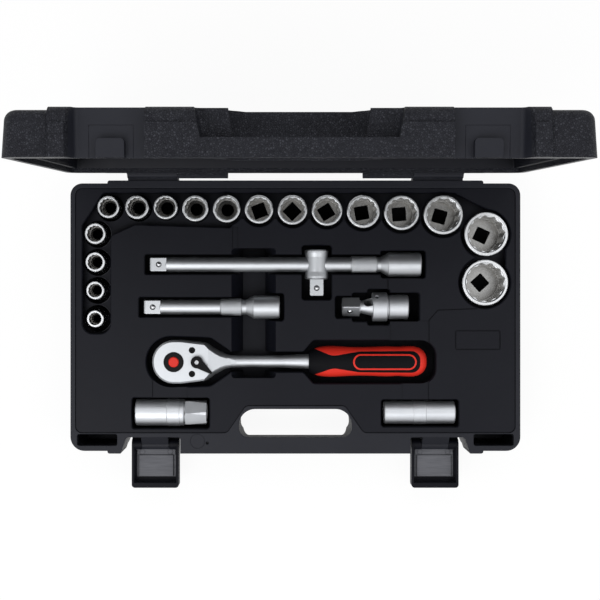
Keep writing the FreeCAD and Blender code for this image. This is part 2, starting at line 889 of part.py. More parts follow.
# Shallow strips that join the pockets, thin seams around the plain panel at the
# right, and the bare frame on that panel
strip_y0 = PLUG_Y + SMALL_PLUG_R
strip_y1 = RATCHET_Y - grip_half + 3.0
panel_x = SMALL_PLUG_X + 41.0
panel_y = RATCHET_Y + 38.6
for x0, x1, y0, y1 in (
    (RATCHET_X - 20.0, RATCHET_X + 12.5, strip_y0, strip_y1),
    (panel_x - 25.0, panel_x, strip_y0, strip_y1),
    (panel_x - 36.0, panel_x, RATCHET_Y + grip_half - 3.0, panel_y - 0.5),
    (step_x, step_x + 5.5, LONG_Y + bar_half - 1.0, first_y - 18.0),
):
    tray_cuts.append(prism(box_outline(x0, x1, y0, y1, 1.0), TRAY_Z - STRIP_D, TRAY_Z + 1.0))


def seam(points):
    """Thin groove through a row of points."""
    for (x0, y0), (x1, y1) in zip(points, points[1:]):
        across, along = unit(x1 - x0, y1 - y0)
        dx = along * SEAM_W / 2
        dy = -across * SEAM_W / 2
        corners = [
            (x0 + dx, y0 + dy, 0),
            (x1 + dx, y1 + dy, 0),
            (x1 - dx, y1 - dy, 0),
            (x0 - dx, y0 - dy, 0),
        ]
        tray_cuts.append(prism(corners, TRAY_Z - SEAM_D, TRAY_Z + 1.0))
    for x, y in points[1:-1]:
        tray_cuts.append(disc(x, y, SEAM_W / 2, TRAY_Z - SEAM_D, TRAY_Z + 1.0))


seam(
    [
        (panel_x, panel_y - 20.0),
        (panel_x, panel_y),
        (panel_x + 8.3, panel_y + 9.2),
        (end_x + 4.8, panel_y + 11.0),
    ]
)
seam_x = LONG_X + LONG_L - 30.7
seam([(seam_x, SHORT_Y + YOKE_R + 2.0), (seam_x, LONG_Y - end_half + 1.0)])
frame_x = HALF_W - 39.0
frame_y = RATCHET_Y + 20.2
plate = box_outline(frame_x - 21.0, frame_x + 21.0, frame_y - 9.2, frame_y + 9.2, 2.0)
groove = prism(plate, TRAY_Z - SEAM_D, TRAY_Z + 1.0)
tray_cuts.append(groove.cut(prism(grow(plate, -1.2), TRAY_Z - SEAM_D, TRAY_Z + 1.0)))

moulding = less(fused(tray_shells), tray_cuts)

# The moulding is kept as blocks that meet at planes through the middles of its
# pockets, so that every pocket stays open: the socket rack along the left and the
# rear, and the tool tray with the bay of the largest sockets


def between(shape, x0, x1, y0, y1):
    return shape.common(block(x0, x1, y0, y1, 0.0, RIM_Z))


def blocks(shape, x_planes, y_planes):
    """Part a moulding along X planes and Y planes."""
    xs = [-HALF_W] + x_planes + [HALF_W]
    ys = [FRONT_Y] + y_planes + [PAD_REAR_Y]
    solids = []
    for x0, x1 in zip(xs, xs[1:]):
        strip = between(shape, x0, x1, FRONT_Y, PAD_REAR_Y)
        for y0, y1 in zip(ys, ys[1:]):
            solids += between(strip, x0, x1, y0, y1).Solids
    return solids


rack_y = LONG_Y + 26.0
rack_right = big_x - half_wide(CORNER[0]) - 3.0
column_y = [y for x, y in places[:COLUMN_COUNT]]
left = between(moulding, -HALF_W, first_x, FRONT_Y, PAD_REAR_Y)
rear = between(moulding, first_x, rack_right, rack_y, PAD_REAR_Y)
right = between(moulding, rack_right, HALF_W, FRONT_Y, PAD_REAR_Y)
middle = between(moulding, first_x, rack_right, FRONT_Y, rack_y)
rack = blocks(left, [COLUMN_X], [column_end - 4.0] + column_y + [first_y])
tray = blocks(middle, [finger_x, T_X], [PLUG_Y, RATCHET_Y, SHORT_Y, LONG_Y])
tray += blocks(right, [big_x], [end_y - 26.0, end_y, big_y])
row_places = places[COLUMN_COUNT:-len(CORNER)] + [(rack_right, last_y)]
for (x0, y0), (x1, y1) in zip(row_places, row_places[1:]):
    pair = blocks(between(rear, x0, x1, rack_y, PAD_REAR_Y), [], [(y0 + y1) / 2])
    if x1 < last_x:
        rack += pair
    else:
        tray += pair
socket_rack = Part.makeCompound(rack)
tool_tray = Part.makeCompound(tray)

# Lid, made shut over the base and then swung open


LID_TOP = RIM_Z + LID_DEPTH
LINER_Z = RIM_Z + LINER_DROP
LID_LEDGE_Z = LINER_Z + LINER_T + LEDGE_T


def turned_over(shape):
    """A case half made with its open side up, put on as a lid."""
    copy = shape.copy()
    copy.rotate(ORIGIN, Y_AXIS, 180)
    copy.translate(V(0, 0, LID_TOP))
    return copy


def lid_knuckle(side):
    """Hinge knuckle with the arm to the lid's rear wall."""
    x0, x1 = along_x(side, HINGE_INNER_X, hinge_split)
    arm = [
        (PAD_REAR_Y - 2.0, RIM_Z + GAP),
        (HINGE_Y - 3.0, RIM_Z + GAP),
        (HINGE_Y, RIM_Z),
        (HINGE_Y + 2.5, RIM_Z + 3.7),
        (PAD_REAR_Y - 2.0, RIM_Z + 14.0),
    ]
    return [
        hinge_barrel(side, HINGE_INNER_X, hinge_split, HINGE_KNUCKLE_R),
        side_prism(arm, x0, x1),
    ]


def catch(side):
    """Boss in the latch recess that the latch hooks over."""
    x0 = side * LATCH_X - CATCH_W / 2
    x1 = side * LATCH_X + CATCH_W / 2
    top = LATCH_PIVOT_Z + LATCH_L - LATCH_HOOK - GAP
    corners = [
        (x0, RIM_Z + GAP, 0),
        (x1, RIM_Z + GAP, 0),
        (x1, top, 3.0),
        (x0, top, 3.0),
    ]
    piece = prism(corners, -1.0, CATCH_OUT)
    piece.rotate(ORIGIN, X_AXIS, 90)
    piece.translate(V(0, NOTCH_Y, 0))
    return piece


def lid_brow():
    """Thicker front of the lid, its outer edge rounded like the rest."""
    reach = HALF_W - PAD_CORNER
    back = FRONT_Y + PAD_REACH
    corners = [
        (FRONT_Y, RIM_Z, 0),
        (back, RIM_Z, 0),
        (back + 6.0, LID_TOP - 1.0, 0),
        (back, LID_TOP + PAD_LIFT, 4.0),
        (FRONT_Y + LID_DRAFT, LID_TOP + PAD_LIFT, LID_EDGE_R),
    ]
    piece = prism(corners, -reach, reach)
    piece.rotate(ORIGIN, V(1, 1, 1), 120)
    return piece


lid_far = LID_TOP + PAD_LIFT + 1.0
lid_body = less(
    fused(
        [turned_over(rounded_half(LID_DRAFT, LID_DEPTH, LID_EDGE_R)), lid_brow()]
        + pads(RIM_Z, LID_TOP - 9.0)
    ),
    both(notch, RIM_Z - 1.0, lid_far) + [scoop(RIM_Z + BAR_T_LID, lid_far)],
)
lid_hollow = less(
    taper(
        grow(case_outline, -WALL),
        LID_LEDGE_Z,
        grow(case_outline, -WALL - LID_DRAFT),
        LID_TOP - WALL,
    ),
    both(notch, RIM_Z, LID_TOP, WALL)
    + [
        scoop(RIM_Z + BAR_T_LID, lid_far, WALL),
        prism(grow(hand_hole, WALL), RIM_Z, LID_TOP),
    ],
)
lid_shut = fused(
    [lid_body.cut(lid_hollow)]
    + [piece for side in (-1, 1) for piece in lid_knuckle(side)]
    + both(catch)
)
lid_shut = less(
    lid_shut,
    [
        prism(grow(tray_outline, GAP), RIM_Z - 1.0, LINER_Z + LINER_T),
        prism(grow(tray_outline, -LEDGE_W), RIM_Z, LID_LEDGE_Z + 1.0),
        prism(hand_hole, RIM_Z - 1.0, lid_far),
    ]
    + [
        hinge_barrel(side, HINGE_INNER_X - 1.0, hinge_split + 1.0, HINGE_PIN_R + FIT)
        for side in (-1, 1)
    ],
)
lid_shell = about_hinge(lid_shut, LID_OPEN)

pan = grow(tray_outline, -LEDGE_W - LINER_T - 1.0)
liner_shut = less(
    fused(
        [
            prism(grow(tray_outline, -GAP / 3), LINER_Z, LINER_Z + LINER_T),
            taper(
                grow(pan, LINER_T),
                LINER_Z + LINER_T / 2,
                grow(pan, LINER_T - 3.0),
                RIM_Z + LINER_DEPTH + LINER_T,
            ),
        ]
    ),
    [taper(pan, LINER_Z - 0.01, grow(pan, -3.0), RIM_Z + LINER_DEPTH)],
)
lid_liner = about_hinge(liner_shut, LID_OPEN)

# Latches, made shut against the case and then swung down


def latch(side):
    """Cap open towards the case, with hook bar, raised inner panel and pivot arms."""
    middle = side * LATCH_X
    x0 = middle - LATCH_W / 2
    x1 = middle + LATCH_W / 2
    outer = LATCH_Y - LATCH_DEPTH * 0.6
    inner = outer + LATCH_DEPTH
    plate_y = outer + LATCH_SKIN
    z = LATCH_PIVOT_Z
    top = z + LATCH_L
    face = [
        (x0, z + LATCH_PIVOT_R * 0.4, 0),
        (x1, z + LATCH_PIVOT_R * 0.4, 0),
        (x1, top, 3.0),
        (x0, top, 3.0),
    ]
    hook = [(x, z1, 0) for x, z1 in ((x0, top - LATCH_HOOK), (x1, top - LATCH_HOOK))]
    skin = prism(face, -plate_y, -outer)
    bar = prism(hook + face[2:], -inner, -outer - 1.0)
    for piece in (skin, bar):
        piece.rotate(ORIGIN, X_AXIS, 90)
    pieces = [
        skin,
        bar,
        block(x0 + 6.0, x1 - 6.0, outer + 1.0, plate_y + 2.6, z + 11.0, z + 31.0),
        block(x0 + 4.0, x1 - 4.0, outer + 1.0, plate_y + 1.2, z + 5.5, z + 11.0),
    ]
    arm_w = (LATCH_W - TONGUE_W) / 2 - GAP
    stop_z = z - (NOTCH_Y - LATCH_Y) + GAP / 3
    for a, wall in ((x0, x0), (x1 - arm_w, x1 - LATCH_SKIN)):
        pieces.append(
            Part.makeCylinder(LATCH_PIVOT_R, arm_w, V(a, LATCH_Y, z), X_AXIS)
        )
        pieces.append(block(a, a + arm_w, outer, LATCH_Y, stop_z, z + 5.5))
        pieces.append(block(wall, wall + LATCH_SKIN, outer, inner, z, top - 3.0))
    body = less(fused(pieces), [latch_bore(side, LATCH_PIN_R + FIT, LATCH_W)])
    return about_latch(body, 90)


# Sockets


def socket(size, across, length):
    """Twelve-point socket standing on its drive end."""
    nose = across / 2
    foot = max(DRIVE_END_D, 0.8 * across) / 2
    shoulder = length - NOSE_L
    slope = abs(nose - foot) + 0.2
    e = SOCKET_EDGE
    body = turned(
        [
            (0, 0),
            (foot - e, 0),
            (foot, e),
            (foot, shoulder - slope),
            (nose, shoulder),
            (nose, length - e),
            (nose - e, length),
            (0, length),
        ]
    )
    mouth = length - 0.55 * size - 5.0
    star = twelve_point(size + 0.2)
    cuts = [
        prism(star, mouth, length + 1.0),
        Part.makeCone(
            size / math.sqrt(3) - 0.9,
            size / math.sqrt(3) + 0.7,
            1.6,
            V(0, 0, length - 1.1),
        ),
    ]
    if size > SQUARE_SEEN:
        well = DRIVE_L + 1.0
        cuts.append(Part.makeCylinder(size / 2, mouth + 0.1 - well, V(0, 0, well)))
        cuts.append(drive_hole(-1.0, well + 1.0))
    else:
        bore = min(0.37 * size, 5.8)
        cuts.append(Part.makeCylinder(bore, length, ORIGIN))
        cuts.append(Part.makeCone(bore, size / 2, size / 2 - bore, V(0, 0, mouth - size / 2 + bore)))
        cuts.append(drive_hole(-1.0, min(DRIVE_L, mouth - 4.0)))
    return less(body, cuts)


# Extension bars and the T-head


def extension(length, socket_l, socket_r, knurl_x, knurl_l):
    """Bar along +Z: square drive, shank, knurled band and socket end."""
    neck = length - socket_l
    shank = turned(
        [
            (0, DRIVE_L - 2.0),
            (BAR_R - 1.0, DRIVE_L - 2.0),
            (BAR_R, DRIVE_L),
            (BAR_R, knurl_x),
            (KNURL_R, knurl_x + 1.2),
            (KNURL_R, knurl_x + knurl_l - 1.2),
            (BAR_R, knurl_x + knurl_l),
            (BAR_R, neck - BAR_NECK),
            (socket_r - 0.8, neck),
            (socket_r, neck + 1.0),
            (socket_r, length - 0.8),
            (socket_r - 0.8, length),
            (0, length),
        ]
    )
    body = fused([drive_tip(DRIVE_L, 0.0), shank])
    return less(body, [drive_hole(length - DRIVE_L - 1.0, length + 1.0), detent_hole(8.0)])


def facing_up(shape, x, y, z):
    """A tool laid along +X with its detent ball on top."""
    copy = shape.copy()
    copy.rotate(ORIGIN, Z_AXIS, 180)
    return laid(copy, x, y, z)


def t_head():
    """Waisted head with a cross bore for the long bar and its own square drive."""
    half = T_HEAD_L / 2
    r = T_HEAD_R
    body = turned(
        [
            (0, -half),
            (r - 1.2, -half),
            (r, -half + 1.2),
            (r, -half + 3.0),
            (r - T_WAIST, -half + 7.0),
            (r - T_WAIST, half - 7.0),
            (r, half - 3.0),
            (r, half - 1.2),
            (r - 1.2, half),
            (0, half),
        ]
    )
    body = fused([body, drive_tip(half - 1.0, half + DRIVE_L)])
    bore = Part.makeCylinder(BAR_R + T_PLAY, 4 * r, V(0, -2 * r, 0), Y_AXIS)
    return less(body, [bore, detent_hole(half + 8.0)])


def as_t_head(shape):
    """Turn the head so its drive points to the front and its ball faces up."""
    copy = shape.copy()
    copy.rotate(ORIGIN, Y_AXIS, -90)
    copy.rotate(ORIGIN, Z_AXIS, 90)
    copy.translate(V(T_X, LONG_Y, BAR_Z))
    return copy


# Universal joint, along +Z through its middle, then laid with its pins at 45 degrees


def socket_yoke():
    """Cup around the centre block, a waist and the socket end."""
    waist = YOKE_ROOT + 1.6
    body = turned(
        [
            (0, -YOKE_TIP),
            (YOKE_R - 0.5, -YOKE_TIP),
            (YOKE_R, 0.5 - YOKE_TIP),
            (YOKE_R, waist - 0.6),
            (YOKE_R - 0.6, waist),
            (YOKE_SOCKET_R - 0.7, waist),
            (YOKE_SOCKET_R - 0.7, waist + 1.3),
            (YOKE_SOCKET_R, waist + 2.0),
            (YOKE_SOCKET_R, YOKE_L - 0.8),
            (YOKE_SOCKET_R - 0.8, YOKE_L),
            (0, YOKE_L),
        ]
    )
    cup = Part.makeCylinder(CUP_R, YOKE_TIP + YOKE_ROOT + 1.0, V(0, 0, -YOKE_TIP - 1.0))
    bore = Part.makeCylinder(JOINT_PIN_R + FIT, 4 * YOKE_R, V(-2 * YOKE_R, 0, 0), X_AXIS)
    return less(body, [cup, bore, drive_hole(YOKE_ROOT + 3.5, YOKE_L + 1.0)])


def drive_yoke():
    """Cone with a round, slotted end that holds the centre block between two cheeks."""
    r = FORK_R
    knob = Part.makeSphere(r).common(block(-r, r, -r, r, -FORK_TIP, YOKE_TIP - 0.7))
    neck = turned(
        [
            (0, 0),
            (FORK_CONE_R, 0),
            (FORK_CONE_R, YOKE_TIP - 1.0),
            (FORK_NECK_R, FORK_L - 2.2),
            (FORK_NECK_R + 0.8, FORK_L - 1.8),
            (FORK_NECK_R + 0.8, FORK_L),
            (0, FORK_L),
        ]
    )
    body = fused([knob, neck, drive_tip(FORK_L - 1.0, FORK_L + DRIVE_L)])
    half = BLOCK / 2 + GAP
    slot_end = FORK_ROOT - half
    cuts = [
        block(-half, half, -2 * r, 2 * r, -2 * r, slot_end),
        Part.makeCylinder(half, 4 * r, V(0, -2 * r, slot_end), Y_AXIS),
        Part.makeCylinder(JOINT_PIN_R + FIT, 4 * r, V(-2 * r, 0, 0), X_AXIS),
        detent_hole(FORK_L + 8.0),
    ]
    return less(body, cuts)


def joint_block():
    half = BLOCK / 2
    cube = block(-half, half, -half, half, -half, half)
    body = cube.common(Part.makeSphere(BLOCK_ROUND))
    reach = BLOCK * 2
    bores = [
        Part.makeCylinder(JOINT_PIN_R + FIT, 2 * reach, V(-reach, 0, 0), X_AXIS),
        Part.makeCylinder(JOINT_PIN_R + FIT, 2 * reach, V(0, -reach, 0), Y_AXIS),
    ]
    return less(body, bores)


def joint_pins():
    """One long pin along X and two short ones along Y."""
    reach = YOKE_R - 1.0
    long_pin = Part.makeCylinder(JOINT_PIN_R, 2 * reach, V(-reach, 0, 0), X_AXIS)
    inner = JOINT_PIN_R + GAP
    outer = FORK_R - 1.0
    short = [
        Part.makeCylinder(JOINT_PIN_R, outer - inner, V(0, y, 0), Y_AXIS)
        for y in (inner, -outer)
    ]
    return long_pin, Part.makeCompound(short)


def as_joint(shape):
    copy = shape.copy()
    copy.rotate(ORIGIN, Z_AXIS, 135)
    return laid(copy, JOINT_X, SHORT_Y, JOINT_Z)


def as_drive_yoke(shape):
    """The drive yoke points to the left, its arms across those of the other yoke."""
    copy = shape.copy()
    copy.rotate(ORIGIN, X_AXIS, 180)
    copy.rotate(ORIGIN, Z_AXIS, 225)
    return laid(copy, JOINT_X, SHORT_Y, JOINT_Z)


# Ratchet, made with its drive axis at the origin and its handle along +X


HEAD_TOP = HEAD_T / 2
BORE_TOP = HEAD_TOP - COLLAR_T - 3.2
COVER_Z = COVER_T - HEAD_TOP

head_plan = upper_and_lower(
    [
        (NECK_X + 8.0, SHAFT_R - 0.4, 0),
        (NECK_X, SHAFT_R - 0.2, 16.0),
        (SHOULDER_X, SHOULDER_W / 2, 13.0),
        (HEAD_R / 3, HEAD_R, HEAD_R),
        (-HEAD_R, HEAD_R, HEAD_R - 0.1),
    ]
)
cover_plan = head_plan[:3] + head_plan[-3:]
pawl_plan = upper_and_lower(
    [
        (LEVER_X + 4.4, 3.0, 2.0),
        (LEVER_X - 3.0, 7.2, 2.0),
        (13.1, 8.4, 0.4),
        (12.2, 7.0, 0.3),
        (14.6, 4.4, 0.5),
        (16.6, 1.0, 0.8),
    ]
)


def screw_places():
    return [(SCREW_X, SCREW_Y), (SCREW_X, -SCREW_Y)]


def ratchet_body():
    """Forged head, neck and shaft with the tang inside the grip."""
    brim = grow(head_plan, -HEAD_EDGE)
    low = HEAD_EDGE - HEAD_TOP
    head = fused(
        [
            taper(brim, -HEAD_TOP, head_plan, low),
            prism(head_plan, low, -low),
            taper(head_plan, -low, brim, HEAD_TOP),
        ]
    )
    side = [
        (-HEAD_R - 1.0, -HEAD_TOP - 1.0, 0),
        (SHOULDER_X - 2.0, -HEAD_TOP - 1.0, 6.0),
        (NECK_X + 2.0, -SHAFT_R, 10.0),
        (NECK_X + 9.0, -SHAFT_R, 0),
        (NECK_X + 9.0, SHAFT_R, 0),
        (NECK_X + 2.0, SHAFT_R, 10.0),
        (SHOULDER_X - 2.0, HEAD_TOP + 1.0, 6.0),
        (-HEAD_R - 1.0, HEAD_TOP + 1.0, 0),
    ]
    profile = prism(side, -HEAD_R - 5.0, HEAD_R + 5.0)
    profile.rotate(ORIGIN, X_AXIS, 90)
    bloom = [
        (SHAFT_R + NECK_BLOOM * (k / 8) ** 2, NECK_X + 9.0 - 5.0 * k) for k in range(8, -1, -1)
    ]
    reach = bloom[0][0]
    skin = turned([(0, -HEAD_R - 5.0), (reach, -HEAD_R - 5.0)] + bloom + [(0, NECK_X + 9.0)])
    head = head.common(profile).common(laid(skin, 0, 0, 0))
    shaft = turned(
        [
            (0, NECK_X - 4.0),
            (SHAFT_R, NECK_X - 4.0),
            (SHAFT_R - 0.5, NECK_X + 25.0),
            (SHAFT_R, GRIP_X - 22.0),
            (SHAFT_FLARE_R, GRIP_X - 3.0),
            (SHAFT_FLARE_R, GRIP_X - GAP / 3),
            (SHAFT_R - 0.6, GRIP_X - GAP / 3),
            (SHAFT_R - 0.6, GRIP_X + TANG_L),
            (0, GRIP_X + TANG_L),
        ]
    )
    body = fused([head, laid(shaft, 0, 0, 0)])
    cuts = [
        disc(0, 0, GEAR_R + GAP, -HEAD_T, BORE_TOP),
        disc(0, 0, COLLAR_R + GAP, 0, HEAD_T),
        prism(grow(cover_plan, -COVER_INSET), -HEAD_T, COVER_Z),
        prism(grow(pawl_plan, 1.4), COVER_Z - 1.0, BORE_TOP),
        disc(LEVER_X, 0, LEVER_SHAFT_R + 2 * FIT, 0, HEAD_T),
    ]
    for x, y in screw_places():
        cuts.append(disc(x, y, SCREW_R + FIT, -HEAD_T, HEAD_T))
        cuts.append(disc(x, y, SCREW_HEAD_R + FIT, HEAD_TOP - 2.6, HEAD_T))
    return less(body, cuts)


def ratchet_cover():
    """Plate let into the underside of the head."""
    plate = prism(grow(cover_plan, -COVER_INSET - FIT), -HEAD_TOP, COVER_Z)
    holes = [disc(0, 0, GEAR_BOSS_R + GAP, -HEAD_T, 0)]
    for x, y in screw_places():
        holes.append(disc(x, y, SCREW_R + FIT, -HEAD_T, 0))
    return less(plate, holes)


def ratchet_screws():
    screws = []
    for x, y in screw_places():
        head = disc(x, y, SCREW_HEAD_R, HEAD_TOP - 2.6, HEAD_TOP + 0.1)
        shank = disc(x, y, SCREW_R, -HEAD_TOP + 0.1, HEAD_TOP - 2.0)
        key = [(x + a, y + b, r) for a, b, r in hexagon(2.6)]
        screws.append(less(fused([head, shank]), [prism(key, HEAD_TOP - 1.4, HEAD_T)]))
    return Part.makeCompound(screws)


BUTTON_SEAT = 0.0
BALL_Z = -HEAD_TOP - 8.0


def drive_gear():
    """Toothed wheel in the head, with the square drive below it."""
    teeth = []
    for k in range(GEAR_TEETH):
        for step, reach in ((-0.25, GEAR_R), (0.25, GEAR_R - TOOTH)):
            a = 2 * math.pi * (k + step + 0.25) / GEAR_TEETH
            teeth.append((reach * math.cos(a), reach * math.sin(a), 0))
    body = fused(
        [
            prism(teeth, COVER_Z + GAP, BORE_TOP - GAP),
            disc(0, 0, COLLAR_R - 0.6, 0, HEAD_TOP - COLLAR_T),
            disc(0, 0, GEAR_BOSS_R, -HEAD_TOP, 0),
            drive_tip(-HEAD_TOP + 0.5, -HEAD_TOP - DRIVE_L),
        ]
    )
    ball_hole = Part.makeCylinder(
        BALL_R + 2 * FIT, DRIVE, V(0, 0, BALL_Z), V(0, -1, 0)
    )
    return less(
        body,
        [
            disc(0, 0, BUTTON_R + 2 * FIT, BUTTON_SEAT, HEAD_T),
            disc(0, 0, PLUNGER_R + 2 * FIT, BALL_Z - 5.5, HEAD_T),
            ball_hole,
        ],
    )


def drive_collar():
    ring = disc(0, 0, COLLAR_R, HEAD_TOP - COLLAR_T, HEAD_TOP + 0.3)
    return ring.cut(disc(0, 0, BUTTON_R + 2 * FIT, 0, HEAD_T))


def release_button():
    """Red button on a plunger whose neck lets the ball in when pressed."""
    low = BALL_Z - 1.8
    return turned(
        [
            (0, low),
            (PLUNGER_R, low),
            (PLUNGER_R, BALL_Z + 0.3),
            (PLUNGER_R - 1.0, BALL_Z + 2.5),
            (PLUNGER_R - 1.0, BALL_Z + 6.0),
            (PLUNGER_R, BALL_Z + 7.0),
            (PLUNGER_R, BUTTON_SEAT + 5.0),
            (BUTTON_R, BUTTON_SEAT + 5.0),
            (BUTTON_R, HEAD_TOP + BUTTON_OUT - 0.8),
            (BUTTON_R - 0.8, HEAD_TOP + BUTTON_OUT),
            (0, HEAD_TOP + BUTTON_OUT),
        ]
    )


def button_spring():
    """Coil spring under the button, kept as a plain sleeve."""
    sleeve = disc(0, 0, BUTTON_R - 0.3, BUTTON_SEAT, BUTTON_SEAT + 5.0)
    return sleeve.cut(disc(0, 0, PLUNGER_R + 0.4, BUTTON_SEAT, BUTTON_SEAT + 5.0))


def reversing_lever():
    """Thumb lever with its shaft down to the pawl."""
    a = math.radians(-LEVER_TURN)
    tip_x = LEVER_X + LEVER_L * math.cos(a)
    tip_y = LEVER_L * math.sin(a)
    z0 = HEAD_TOP + GAP / 2
    z1 = HEAD_TOP + LEVER_T
    side = (-math.sin(a), math.cos(a))
    arm = [
        (LEVER_X - side[0] * LEVER_HEAD_R * 0.92, -side[1] * LEVER_HEAD_R * 0.92, 0),
        (tip_x - side[0] * LEVER_TIP_R, tip_y - side[1] * LEVER_TIP_R, 0),
        (tip_x + side[0] * LEVER_TIP_R, tip_y + side[1] * LEVER_TIP_R, 0),
        (LEVER_X + side[0] * LEVER_HEAD_R * 0.92, side[1] * LEVER_HEAD_R * 0.92, 0),
    ]
    body = fused(
        [
            disc(LEVER_X, 0, LEVER_HEAD_R, z0, z1),
            prism(arm, z0, z1 - 0.8),
            disc(tip_x, tip_y, LEVER_TIP_R, z0, z1 - 0.8),
            disc(LEVER_X, 0, LEVER_SHAFT_R, COVER_Z + 1.0, z0 + 0.5),
        ]
    )
    return less(body, [disc(LEVER_X, 0, LEVER_HUB_R + FIT, z1 - 1.5, z1 + 1.0)])


def lever_hub():
    z1 = HEAD_TOP + LEVER_T
    return disc(LEVER_X, 0, LEVER_HUB_R, z1 - 1.5, z1 + 0.2)


def pawl():
    """Rocking double pawl on the lever shaft, one end in the teeth."""
    body = prism(pawl_plan, COVER_Z + 1.0, COVER_Z + 1.0 + PAWL_T)
    body = less(body, [disc(LEVER_X, 0, LEVER_SHAFT_R + 2 * FIT, -HEAD_T, HEAD_T)])
    body.rotate(V(LEVER_X, 0, 0), Z_AXIS, PAWL_ROCK)
    return body


def grip_skin(lift=0.0, inside=0.0):
    """Rounded handle, a little slimmer behind the front swell."""
    stations = [
        (0.0, 0.66, 0.70),
        (0.07, 0.92, 0.92),
        (0.20, 1.02, 1.00),
        (0.42, 0.95, 0.95),
        (0.70, 0.99, 0.98),
        (0.89, 1.00, 0.98),
        (0.945, 0.88, 0.88),
        (0.982, 0.64, 0.66),
        (1.0, 0.36, 0.38),
    ]
    wires = []
    for share, wide, thick in stations:
        a = wide * GRIP_W / 2 - inside
        b = thick * GRIP_T / 2 - inside
        curve = Part.Ellipse(ORIGIN, max(a, b), min(a, b)).toShape()
        wire = Part.Wire(curve)
        wire.rotate(ORIGIN, X_AXIS, 90)
        wire.rotate(ORIGIN, Z_AXIS, 90)
        wire.translate(V(GRIP_X + share * GRIP_L, 0, lift))
        wires.append(wire)
    return Part.makeLoft(wires, True, False)


def inlay_plan():
    """U along both sides of the grip, closed near its free end."""
    wide = GRIP_W
    start = GRIP_X + INLAY_X
    turn = GRIP_X + GRIP_L - INLAY_END
    swell = start + INLAY_SWELL
    upper = [
        (turn, INLAY_HALF, 8.0),
        (swell + 24.0, INLAY_HALF - 0.5, 30.0),
        (swell, INLAY_HALF - 4.6, 16.0),
        (start, INLAY_HALF + 2.2, 0),
    ]
    return [(x, -y, r) for x, y, r in reversed(upper)] + upper + [
        (start, wide, 0),
        (turn + wide, wide, 0),
        (turn + wide, -wide, 0),
        (start, -wide, 0),
    ]


def badge_plan(by=0.0):
    x0 = GRIP_X + BADGE_X
    half = BADGE_W / 2
    return grow(box_outline(x0, x0 + BADGE_L, -half, half, half - 0.1), by)


def ratchet_grip():
    """Black core, red side inlay and the bare red pill on top."""
    skin = grip_skin()
    u = Part.Face(outline(list(reversed(inlay_plan())), -GRIP_T))
    u = less(u.extrude(V(0, 0, 2 * GRIP_T)), [grip_skin(0.0, INLAY_T)])
    pill_z = 0.30 * GRIP_T
    bore = Part.makeCylinder(
        SHAFT_R - 0.6 + FIT, TANG_L + 1.0, V(GRIP_X - 0.5, 0, 0), X_AXIS
    )
    core = less(skin, [u, prism(badge_plan(), pill_z, GRIP_T), bore])
    badge = prism(badge_plan(-FIT), pill_z, GRIP_T).common(grip_skin(BADGE_OUT))
    return core, skin.common(u), badge


def at_handle(shape):
    copy = shape.copy()
    copy.translate(V(RATCHET_X, RATCHET_Y, RATCHET_Z))
    return copy


# Spark plug sockets, mouth towards the left


plug_bore_l = PLUG_L - DRIVE_L - PLUG_FLOOR


def plug_socket(r, across, band, hex_l):
    """Long banded socket with hexagon mouth, on request with a hexagon drive end."""
    end = PLUG_L - hex_l
    edge = 2.4 if hex_l else 0.8
    body = turned(
        [
            (0, 0),
            (r - 0.8, 0),
            (r, 0.8),
            (r, band),
            (r + PLUG_BAND_OUT, band + 0.5),
            (r + PLUG_BAND_OUT, band + PLUG_BAND_L - 0.5),
            (r, band + PLUG_BAND_L),
            (r, end - 1.2 * edge),
            (r - edge, end),
            (0, end),
        ]
    )
    if hex_l:
        drive_hex = prism(hexagon(1.72 * r), end - 1.0, PLUG_L)
        body = fused([body, drive_hex.common(Part.makeCone(1.2 * r, 0.93 * r, PLUG_L, ORIGIN))])
    return less(
        body,
        [
            prism(hexagon(across + 0.2), -1.0, PLUG_MOUTH),
            Part.makeCylinder(across / 2, plug_bore_l),
            drive_hole(PLUG_L - DRIVE_L, PLUG_L + 1.0),
            Part.makeCylinder(DRIVE / 2 - 1.0, PLUG_L),
        ],
    )


def plug_sleeve(across):
    """Rubber sleeve that grips the plug."""
    r = across / 2 - FIT
    z0 = plug_bore_l - PLUG_SLEEVE_ROOM - PLUG_SLEEVE_L
    tube = Part.makeCylinder(r, PLUG_SLEEVE_L, V(0, 0, z0))
    return tube.cut(Part.makeCylinder(r - PLUG_SLEEVE_T, PLUG_SLEEVE_L, V(0, 0, z0)))


# Every piece in its place

pieces = {
    "base_shell": base_shell,
    "tool_tray": tool_tray,
    "socket_rack": socket_rack,
    "lid_shell": lid_shell,
    "lid_liner": lid_liner,
    "hinge_pins": hinge_pins,
    "latch_pins": latch_pins,
    "latch_left": latch(-1),
    "latch_right": latch(1),
}

for (size, across, length, turn), (x, y) in zip(SOCKETS, places):
    piece = socket(size, across, length)
    piece.rotate(ORIGIN, Z_AXIS, turn)
    piece.translate(V(x, y, SOCKET_TOP_Z - length))
    pieces[f"socket_{size}mm"] = piece

long_bar = extension(LONG_L, BAR_SOCKET_L, BAR_SOCKET_R, LONG_KNURL_X, LONG_KNURL_L)
short_bar = extension(SHORT_L, SHORT_SOCKET_L, SHORT_SOCKET_R, SHORT_KNURL_X, SHORT_KNURL_L)
for name, bar, x, y in (
    ("long_extension", long_bar, LONG_X, LONG_Y),
    ("short_extension", short_bar, SHORT_X, SHORT_Y),
):
    pieces[f"{name}_bar"] = facing_up(bar, x, y, BAR_Z)
    pieces[f"{name}_ball"] = facing_up(detent_ball(8.0), x, y, BAR_Z)
    pieces[f"{name}_spring"] = facing_up(detent_spring(8.0), x, y, BAR_Z)

